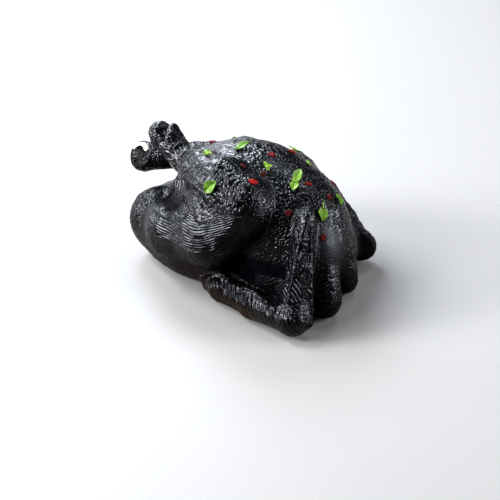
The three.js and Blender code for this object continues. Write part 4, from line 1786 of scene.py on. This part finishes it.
@dataclass
class Strands:
    """Thin pale strings of skin at the near ankle and on the edge of the leg's web."""

    relief: SkinRelief
    thick: float = 0.36
    proud: float = 0.12
    sides: int = 6
    step: float = 0.5
    lines: tuple[tuple[Triple, ...], ...] = (
        ((-42.0, -24.7, 87.0), (-39.5, -25.2, 86.0), (-34.9, -26.5, 83.6)),
        (
            (-36.2, -18.7, 92.6), (-36.9, -21.5, 91.3), (-38.2, -23.5, 89.5), (-35.7, -24.5, 87.0),
            (-32.5, -26.0, 85.5),
        ),
        ((-41.2, -25.2, 81.0), (-38.2, -26.0, 81.9), (-35.2, -26.7, 82.8)),
        ((-43.9, -17.7, 98.4), (-44.2, -20.2, 97.0), (-45.0, -21.7, 95.3)),
        ((-37.6, -21.6, 64.2), (-36.4, -23.2, 62.7), (-35.4, -24.8, 60.6)),
        ((-32.6, -26.0, 66.8), (-31.4, -27.6, 65.3), (-31.0, -28.6, 63.0)),
        ((-29.8, -27.7, 68.5), (-28.2, -29.6, 66.8), (-26.6, -31.6, 65.4), (-26.8, -32.4, 63.6)),
        ((-23.4, -33.0, 72.6), (-21.7, -34.5, 71.4), (-21.4, -35.3, 68.8)),
        ((-19.6, -36.0, 72.0), (-18.8, -36.5, 70.0), (-19.4, -36.8, 67.6)),
    )

    def tree(self) -> GeometryBench:
        """A tree that turns lines into round strings.

        Returns:
            The tree.
        """
        tree = GeometryBench("strands", {"Thickness": "Float", "Sides": "Int", "Material": "Material"})
        curve = tree.node("GeometryNodeMeshToCurve", Mesh=tree.given("Geometry"))
        ring = tree.node(
            "GeometryNodeCurvePrimitiveCircle",
            Resolution=tree.given("Sides"), Radius=tree.given("Thickness"),
        )
        tube = tree.node(
            "GeometryNodeCurveToMesh",
            Curve=curve.outputs[0], Profile_Curve=ring.outputs[0], Fill_Caps=True,
        )
        tree.end_mesh(tube.outputs[0])
        return tree

    def build(self, material: Finish) -> Piece:
        """Lay the strings on the skin.

        Args:
            material: Their finish.

        Returns:
            All the strings as one mesh.
        """
        points, edges = [], []
        for line in self.lines:
            knots = np.array(line, float)
            length = np.concatenate([[0.0], np.cumsum(np.linalg.norm(np.diff(knots, axis=0), axis=1))])
            count = max(int(length[-1] / self.step), 4)
            at = np.linspace(0.0, length[-1], count)
            smooth = np.stack([np.interp(at, length, knots[:, k]) for k in range(3)], 1)
            for _ in range(3):
                smooth[1:-1] = 0.5 * smooth[1:-1] + 0.25 * (smooth[:-2] + smooth[2:])
            edges += [(len(points) + i, len(points) + i + 1) for i in range(count - 1)]
            points += smooth.tolist()
        p = np.array(points)
        form = self.relief.form
        for _ in range(3):
            p = p - form.slope(p) * form.distance(p)[:, None]
        relief = SkinRelief(form, p, form.slope(p))
        p = p + relief.out * (relief.lift() + self.proud)[:, None]
        mesh = bpy.data.meshes.new("lines")
        mesh.from_pydata(((p - MIDDLE) * MM).tolist(), edges, [])
        carrier = add_object("lines", mesh)
        made = self.tree().run(
            carrier, "skin_strands", Thickness=self.thick * MM, Sides=self.sides, Material=material
        )
        bpy.data.objects.remove(carrier)
        return made


@dataclass
class CutHock:
    """The white crescent of cartilage round the top of the far leg's cut end."""

    form: BirdForm
    ring: float = 7.8
    forward: float = 6.2
    start: float = 172.0
    sweep: float = 130.0
    thin: float = 0.85
    swell: float = 1.1
    lumpy: float = 0.16
    stations: int = 40
    sides: int = 16

    def build(self) -> Piece:
        """Sweep a lumpy round section along the crescent.

        Returns:
            The crescent.
        """
        middle, forward, right, up = self.form.cut_axis()
        points = []
        for i in range(self.stations):
            t = i / (self.stations - 1)
            angle = math.radians(self.start - self.sweep * t)
            radial = right * math.cos(angle) + up * math.sin(angle)
            centre = middle + radial * self.ring + forward * self.forward
            closing = math.sqrt(max(1.0 - (2.0 * t - 1.0) ** 12, 0.0))
            thick = (self.thin + self.swell * t**1.6) * max(closing, 0.02)
            for j in range(self.sides):
                a = 2 * math.pi * j / self.sides
                lump = 1.0 + self.lumpy * noise.noise(Vector((t * 9.0, math.cos(a), math.sin(a))))
                points.append(centre + (radial * math.cos(a) + forward * math.sin(a)) * thick * lump)
        faces = tube_faces(self.stations, self.sides)
        return mesh_object("cartilage_rim", (np.array(points) - MIDDLE) * MM, faces)


@dataclass(frozen=True)
class Leaf:
    """One leaf of a sprig, in millimetres and degrees."""

    long: float
    wide: float
    turn: float = 0.0
    tilt: float = 8.0
    root: float = -0.6
    young: float = 1.0


@dataclass(frozen=True)
class Sprig:
    """A leaf, or a fan of leaves round a bud, at a place on the bird."""

    node: str
    near: Triple
    heading: float
    leaves: tuple[Leaf, ...]
    stalk: float = 0.0


SPRIGS = (
    Sprig("basil_top_leaf", (7.5, -5, 95), 62, (Leaf(12, 6.5, tilt=10, root=-6, young=0.3),)),
    Sprig(
        "basil_star_sprig", (-6.5, -27.5, 95), 0,
        (
            Leaf(6, 2.6, -22, 20), Leaf(6.5, 2.8, 150, 16), Leaf(4.5, 2.6, 85, 32), Leaf(5.5, 2.4, 235, 14),
            Leaf(5.5, 2.6, 280, 12),
        ),
    ),
    Sprig("basil_knee_leaf", (12.4, -52.6, 87.3), 49, (Leaf(11.5, 8.5, root=-5.6, young=0.35),)),
    Sprig(
        "basil_small_sprig", (33.5, -14.7, 90.3), 0,
        (Leaf(6, 3, 150), Leaf(4.5, 3, 65), Leaf(4, 2.6, -50)),
    ),
    Sprig(
        "basil_twin_sprig", (54.5, -13.2, 84.5), 0,
        (
            Leaf(12.5, 6, 104, 5, young=0.75), Leaf(9.5, 6, -72, 5, young=0.75), Leaf(4, 2.6, 175),
            Leaf(3.6, 2.4, 20),
        ),
    ),
    Sprig("basil_shoulder_sprig", (31, 24, 87), 0, (Leaf(6, 3.4, 100), Leaf(5.5, 3, 190))),
    Sprig("basil_tiny_sprig", (48.5, 13.5, 85.3), 0, (Leaf(4.4, 2.8, 130), Leaf(4, 2.6, -20))),
    Sprig("basil_neck_leaf", (77.5, 5, 69), -30, (Leaf(10.5, 6.5, root=-5.2, young=0.5),)),
    Sprig("basil_stalked_leaf", (78, -16.6, 69.1), -62, (Leaf(11, 7, root=-4.6, young=0.7),), 4.0),
    Sprig("basil_far_leaf", (20, 44, 66), 160, (Leaf(11.5, 7.5, root=-5.7, young=0.4),)),
    Sprig("basil_far_sprig", (-20, 30, 72), 30, (Leaf(6, 3.2), Leaf(5.5, 3, 130), Leaf(5, 3, 240))),
)


@dataclass
class Basil:
    """The basil leaves and sprigs on the bird."""

    form: BirdForm
    rows: int = 22
    half_columns: int = 6
    bed: float = 0.30
    thin: float = 0.055
    narrowest: float = 0.07
    tooth: float = 0.035
    tooth_rate: float = 46.0
    puff: float = 0.05
    groove: float = 0.035
    groove_width: float = 0.14
    cup: float = 0.16
    sway: float = 0.06

    def blade(self) -> Piece:
        """One leaf, 1 unit long and 1 unit wide, puffed up between its veins.

        Returns:
            The leaf, whose vertices say where they are along it and across it.
        """
        points, along, across = [], [], []
        columns = range(-self.half_columns, self.half_columns + 1)
        for lift in (0.0, 1.0):
            for i in range(self.rows + 1):
                t = i / self.rows
                half = 0.5 * max(math.sin(math.pi * t**0.85) ** 0.8, self.narrowest)
                edge = 1.0 + self.tooth * math.sin(t * self.tooth_rate)
                for j in columns:
                    v = j / self.half_columns
                    vein = abs(math.sin((t * VEIN_PAIRS - abs(v) * VEIN_LEAN) * math.pi))
                    puff = self.puff * vein * (1.0 - abs(v) ** 3)
                    groove = -self.groove * math.exp(-((v / self.groove_width) ** 2))
                    cup = self.cup * abs(v) ** 1.4 * half * 2.0 + self.sway * math.sin(9.0 * t + 2.0 * v) * v
                    points.append((t, v * half * edge, cup + puff * half + groove + self.thin * lift))
                    along.append(t)
                    across.append(v)
        width = len(columns)
        sheet = width * (self.rows + 1)
        faces = []
        for i in range(self.rows):
            for j in range(width - 1):
                a = i * width + j
                faces.append([a, a + 1, a + width + 1, a + width])
                faces.append([sheet + a, sheet + a + width, sheet + a + width + 1, sheet + a + 1])
        outline = [i * width for i in range(self.rows + 1)]
        outline += [self.rows * width + j for j in range(1, width)]
        outline += [i * width + width - 1 for i in range(self.rows - 1, -1, -1)]
        outline += list(range(width - 2, 0, -1))
        for a, b in zip(outline, outline[1:] + outline[:1]):
            faces.append([a, b, sheet + b, sheet + a])
        leaf = mesh_object("blade", np.array(points), faces)
        write_attribute(leaf, "along", np.array(along))
        write_attribute(leaf, "across", np.array(across))
        return leaf

    def tree(self) -> GeometryBench:
        """A tree that sets a leaf on each point, turned and sized as the point says.

        Returns:
            The tree.
        """
        tree = GeometryBench("leaf_fan", {"Blade": "Object", "Material": "Material"})
        one = tree.node("GeometryNodeObjectInfo", Object=tree.given("Blade"))
        tree.end(tree.set_on_points(one.outputs["Geometry"]))
        return tree

    def stem(self, sprig: Sprig) -> tuple[list, list]:
        """The bud of a fan, or a lone leaf's stalk, as points and faces in the sprig's own place.

        Args:
            sprig: The leaf or fan.

        Returns:
            The points and the faces, both empty where there is neither.
        """
        sides, points = 8, []
        if sprig.stalk:
            root = sprig.leaves[0].root
            stations = [(root - sprig.stalk + 0.8 + s * sprig.stalk / 5, 0.5 - 0.03 * s) for s in range(7)]
            rings = [((x, 0.25 * math.sin(x), 0.55), r, "x") for x, r in stations]
        elif len(sprig.leaves) > 1:
            rings = [((0.0, 0.0, z), r, "z") for z, r in ((0.1, 0.5), (0.5, 1.1), (1.0, 1.0), (1.45, 0.45))]
        else:
            return [], []
        for (x, y, z), radius, axis in rings:
            for j in range(sides):
                a = 2 * math.pi * j / sides
                c, s = radius * math.cos(a), radius * math.sin(a)
                points.append((x, y + c, z + s) if axis == "x" else (x + c, y + s, z))
        return points, tube_faces(len(rings), sides)

    def build(self, material: Finish) -> list[Piece]:
        """Make every leaf and sprig where its solid lies.

        Args:
            material: The leaves' finish.

        Returns:
            One piece for each sprig, in the order of SPRIGS.
        """
        blade = self.blade()
        tree = self.tree()
        made = []
        for sprig in SPRIGS:
            at, basis = self.form.perch(sprig.near, sprig.heading)
            places, turns, sizes, young = [], [], [], []
            for leaf in sprig.leaves:
                own = Matrix.Rotation(math.radians(leaf.turn), 3, "Z")
                own = own @ Matrix.Rotation(-math.radians(leaf.tilt), 3, "Y")
                whole = Matrix(basis.tolist()) @ own
                start = np.array(whole @ Vector((leaf.root, 0.0, self.bed))) + at
                places.append((start - MIDDLE) * MM)
                turns.append(list(whole.to_euler()))
                sizes.append([leaf.long * MM, leaf.wide * MM, leaf.wide * MM])
                young.append(leaf.young)
            carrier = carrier_of(places, turn=turns, size=sizes, young=young)
            piece = tree.run(carrier, sprig.node.replace("basil_", "leaf_"), Blade=blade, Material=material)
            bpy.data.objects.remove(carrier)
            self._add_stem(piece, sprig, at, basis, material)
            self._settle(piece, sprig, basis[:, 2])
            made.append(piece)
        bpy.data.objects.remove(blade)
        return made

    def _add_stem(self, piece: Piece, sprig: Sprig, at: Array, basis: Array, material: Finish) -> None:
        """Join the bud or the stalk to the leaves.

        Args:
            piece: The leaves.
            sprig: What to make the bud or the stalk for.
            at: The sprig's place in millimetres.
            basis: Its ways ahead, aside and out, as columns.
            material: The finish of the bud or the stalk.
        """
        points, faces = self.stem(sprig)
        if not points:
            return
        placed = (np.array(points) @ basis.T + at - MIDDLE) * MM
        stem = mesh_object("stem", placed, faces)
        write_attribute(stem, "young", np.ones(len(points)))
        write_attribute(stem, "along", np.full(len(points), 0.23))
        write_attribute(stem, "across", np.full(len(points), 0.5))
        stem.data.materials.append(material)
        with bpy.context.temp_override(active_object=piece, selected_editable_objects=[piece, stem]):
            bpy.ops.object.join()

    def _settle(self, piece: Piece, sprig: Sprig, out: Array) -> None:
        """Move the piece along the way out of the skin until its middle is its solid's.

        Args:
            piece: The leaf or fan.
            sprig: What it was made from.
            out: The way out of the skin.
        """
        low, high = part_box(sprig.node)
        mesh = piece.data
        flat = np.zeros(len(mesh.vertices) * 3)
        mesh.vertices.foreach_get("co", flat)
        points = flat.reshape(-1, 3)
        own = (points.min(0) + points.max(0)) / 2
        shift = (np.array(low) + np.array(high)) / 2 - own
        points = points + out * (shift @ out)
        mesh.vertices.foreach_set("co", points.ravel())
        mesh.update()
        log.info("%s: %.2f mm aside, %.2f mm out", sprig.node, np.linalg.norm(shift) / MM, (shift @ out) / MM)


@dataclass(frozen=True)
class Flake:
    """A chilli chip: where it lies, its heading, length, width and brightness."""

    near: Triple
    heading: float
    long: float
    wide: float
    bright: float = 0.45


@dataclass
class ChilliFlakes:
    """The chilli chips stuck to the skin."""

    form: BirdForm
    thick: float = 1.5
    rise: float = 0.3
    uneven: float = 2.16
    coarse: float = 620.0
    flakes: tuple[Flake, ...] = (
        Flake((36.4, -37.8, 91), 20, 7, 5, 1.0),
        Flake((29.2, -2, 93.5), 0, 6, 4.5, 0.4),
        Flake((33.6, 17.2, 88.5), 70, 6, 4.5, 0.65),
        Flake((21.7, -27.2, 94.1), 10, 4.5, 4, 0.2),
        Flake((62, -7.3, 82.8), 40, 5, 4, 0.5),
        Flake((60.5, -31, 71), 80, 5, 4.5, 0.3),
        Flake((74.8, -1.9, 74), -60, 5, 4, 0.5),
        Flake((84.6, -26, 56.7), -70, 5, 4, 0.4),
        Flake((-33.6, 18.6, 77), 0, 6.5, 4.5, 0.4),
        Flake((33.4, -20.3, 88.2), 0, 4.5, 4, 0.15),
        Flake((8, 34, 78), 30, 6, 4.5),
        Flake((62, 24, 68), -40, 5, 4),
        Flake((-12, 50, 50), 10, 5.5, 4.5),
    )

    def tree(self) -> GeometryBench:
        """A tree that sets a chip on each point and makes every chip uneven in its own way.

        Returns:
            The tree.
        """
        tree = GeometryBench("chips", {"Unevenness": "Float", "Material": "Material"})
        ball = tree.node("GeometryNodeMeshIcoSphere", Radius=0.5, Subdivisions=4)
        placed = tree.set_on_points(ball.outputs["Mesh"])
        real = tree.node("GeometryNodeRealizeInstances", Geometry=placed)
        rough = tree.node("ShaderNodeTexNoise", Scale=self.coarse, Detail=3.0)
        centred = tree.node(
            "ShaderNodeVectorMath", {"operation": "SUBTRACT"}, i0=rough.outputs["Color"], i1=(0.5, 0.5, 0.5)
        )
        push = tree.node(
            "ShaderNodeVectorMath", {"operation": "SCALE"},
            Vector=centred.outputs[0], Scale=tree.given("Unevenness"),
        )
        moved = tree.node("GeometryNodeSetPosition", Geometry=real.outputs[0], Offset=push.outputs[0])
        tree.end_mesh(moved.outputs[0])
        return tree

    def build(self, material: Finish) -> Piece:
        """Make all the chips as one mesh.

        Args:
            material: Their finish.

        Returns:
            The chips.
        """
        places, turns, sizes, bright = [], [], [], []
        for flake in self.flakes:
            at, basis = self.form.perch(flake.near, flake.heading)
            places.append((at + basis[:, 2] * self.rise - MIDDLE) * MM)
            turns.append(list(Matrix(basis.tolist()).to_euler()))
            sizes.append([flake.long * MM, flake.wide * MM, self.thick * MM])
            bright.append(flake.bright)
        carrier = carrier_of(places, turn=turns, size=sizes, bright=bright)
        piece = self.tree().run(carrier, "chilli_flakes", Unevenness=self.uneven * MM, Material=material)
        bpy.data.objects.remove(carrier)
        return piece


@dataclass(frozen=True)
class Lamp:
    """A square soft light that faces the bird.

    It gives its name, its degrees round the bird from the -Y side, its degrees above the floor, its distance
    and its side in metres, its power in watts and its colour.
    """

    name: str
    azimuth: float
    elevation: float
    away: float
    side: float
    power: float
    tint: Triple


@dataclass
class Studio:
    """A plain pale floor, soft lights and the camera."""

    look_at: Triple = (-7.18, 23.48, 0.0)
    azimuth: float = 32.3
    elevation: float = 30.4
    away: float = 1486.8
    focal: float = 148.68
    sensor: float = 36.0
    clip: Span = (0.05, 50.0)
    floor_half: float = 6.0
    floor_drop: float = 0.0002
    lit_place: Triple = (0.0, 0.0, 0.05)
    sky: tuple = colour(0.90, 0.95, 1.0)
    sky_strength: float = 0.04
    exposure: float = 0.32
    gamma: float = 0.84
    lamps: tuple[Lamp, ...] = (
        Lamp("key", -78.0, 46.0, 1.2, 0.5, 38.0, (0.91, 0.95, 1.0)),
        Lamp("bridge", -86.0, 7.0, 1.3, 0.35, 9.0, (0.92, 0.95, 1.0)),
        Lamp("front", -48.0, 22.0, 1.3, 0.45, 42.0, (0.93, 0.96, 1.0)),
        Lamp("fill", -28.0, 36.0, 1.3, 0.4, 20.0, (0.90, 0.94, 1.0)),
        Lamp("back", -130.0, 38.0, 1.3, 0.5, 30.0, (0.84, 0.90, 1.0)),
        Lamp("top", 172.0, 60.0, 1.3, 0.4, 8.0, (0.84, 0.90, 1.0)),
        Lamp("low", -127.0, 14.0, 1.3, 0.4, 6.0, (0.88, 0.93, 1.0)),
        Lamp("right", 116.0, 21.0, 1.4, 0.8, 44.0, (0.90, 0.94, 1.0)),
    )

    @staticmethod
    def way(azimuth: float, elevation: float) -> Vector:
        """The way from the bird to a place round it."""
        a, e = math.radians(azimuth), math.radians(elevation)
        return Vector((math.sin(a) * math.cos(e), -math.cos(a) * math.cos(e), math.sin(e)))

    def light(self, lamp: Lamp) -> None:
        """Hang up one lamp.

        Args:
            lamp: What it is like and where it hangs.
        """
        data = bpy.data.lights.new(lamp.name, "AREA")
        data.shape = "SQUARE"
        data.size = lamp.side
        data.energy = lamp.power
        data.color = lamp.tint
        holder = add_object(lamp.name, data)
        way = self.way(lamp.azimuth, lamp.elevation)
        holder.location = way * lamp.away + Vector(self.lit_place)
        holder.rotation_euler = way.to_track_quat("Z", "Y").to_euler()

    def camera(self) -> None:
        """Set up the camera at the photograph's viewing angle."""
        data = bpy.data.cameras.new("camera")
        data.lens = self.focal
        data.sensor_width = self.sensor
        data.clip_start, data.clip_end = self.clip
        eye = add_object("camera", data)
        back = self.way(self.azimuth, self.elevation)
        eye.location = (Vector(self.look_at) + back * self.away) * MM
        eye.rotation_euler = back.to_track_quat("Z", "Y").to_euler()
        bpy.context.scene.camera = eye

    def floor(self) -> None:
        """Lay the floor, just under the bird."""
        h, z = self.floor_half, -self.floor_drop
        corners = np.array([(-h, -h, z), (h, -h, z), (h, h, z), (-h, h, z)])
        floor = mesh_object("floor", corners, [[0, 1, 2, 3]], smooth=False)
        floor.data.materials.append(PaleFloor().material())

    def world(self) -> None:
        """Set up a faint sky."""
        world = bpy.data.worlds.new("studio")
        world.use_nodes = True
        back = world.node_tree.nodes["Background"]
        back.inputs["Color"].default_value = self.sky
        back.inputs["Strength"].default_value = self.sky_strength
        bpy.context.scene.world = world

    def build(self) -> None:
        """Set up the camera, the floor, the sky, the lights and the look of the picture."""
        self.camera()
        self.floor()
        self.world()
        for lamp in self.lamps:
            self.light(lamp)
        look = bpy.context.scene.view_settings
        look.view_transform = "Standard"
        look.exposure = self.exposure
        look.gamma = self.gamma


def main() -> None:
    """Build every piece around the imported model."""
    logging.basicConfig(level=logging.INFO, format="%(message)s")
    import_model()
    form = BirdForm()
    skin_material = WetBlackSkin().material()
    skin_maker = Skin(form)
    skin = skin_maker.build()
    skin.data.materials.append(skin_material)
    pits = skin_maker.pits(skin, skin_material)
    flakes = ChilliFlakes(form).build(DriedChilli().material())
    strands = Strands(skin_maker.relief).build(PaleSkin().material())
    rim = CutHock(form).build()
    rim.data.materials.append(Cartilage().material())
    leaves = Basil(form).build(FreshLeaf().material())
    for piece in (skin, pits, strands, flakes):
        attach(piece, "root")
        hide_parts("bird")
    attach(rim, "root")
    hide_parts("hock_cartilage")
    for sprig, piece in zip(SPRIGS, leaves):
        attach(piece, "root")
        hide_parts(sprig.node)
    for piece in (skin, pits, strands, flakes, rim, *leaves):
        log.info("%s: %d triangles", piece.name, triangles_of(piece))
    Studio().build()


if __name__ == "__main__":
    main()
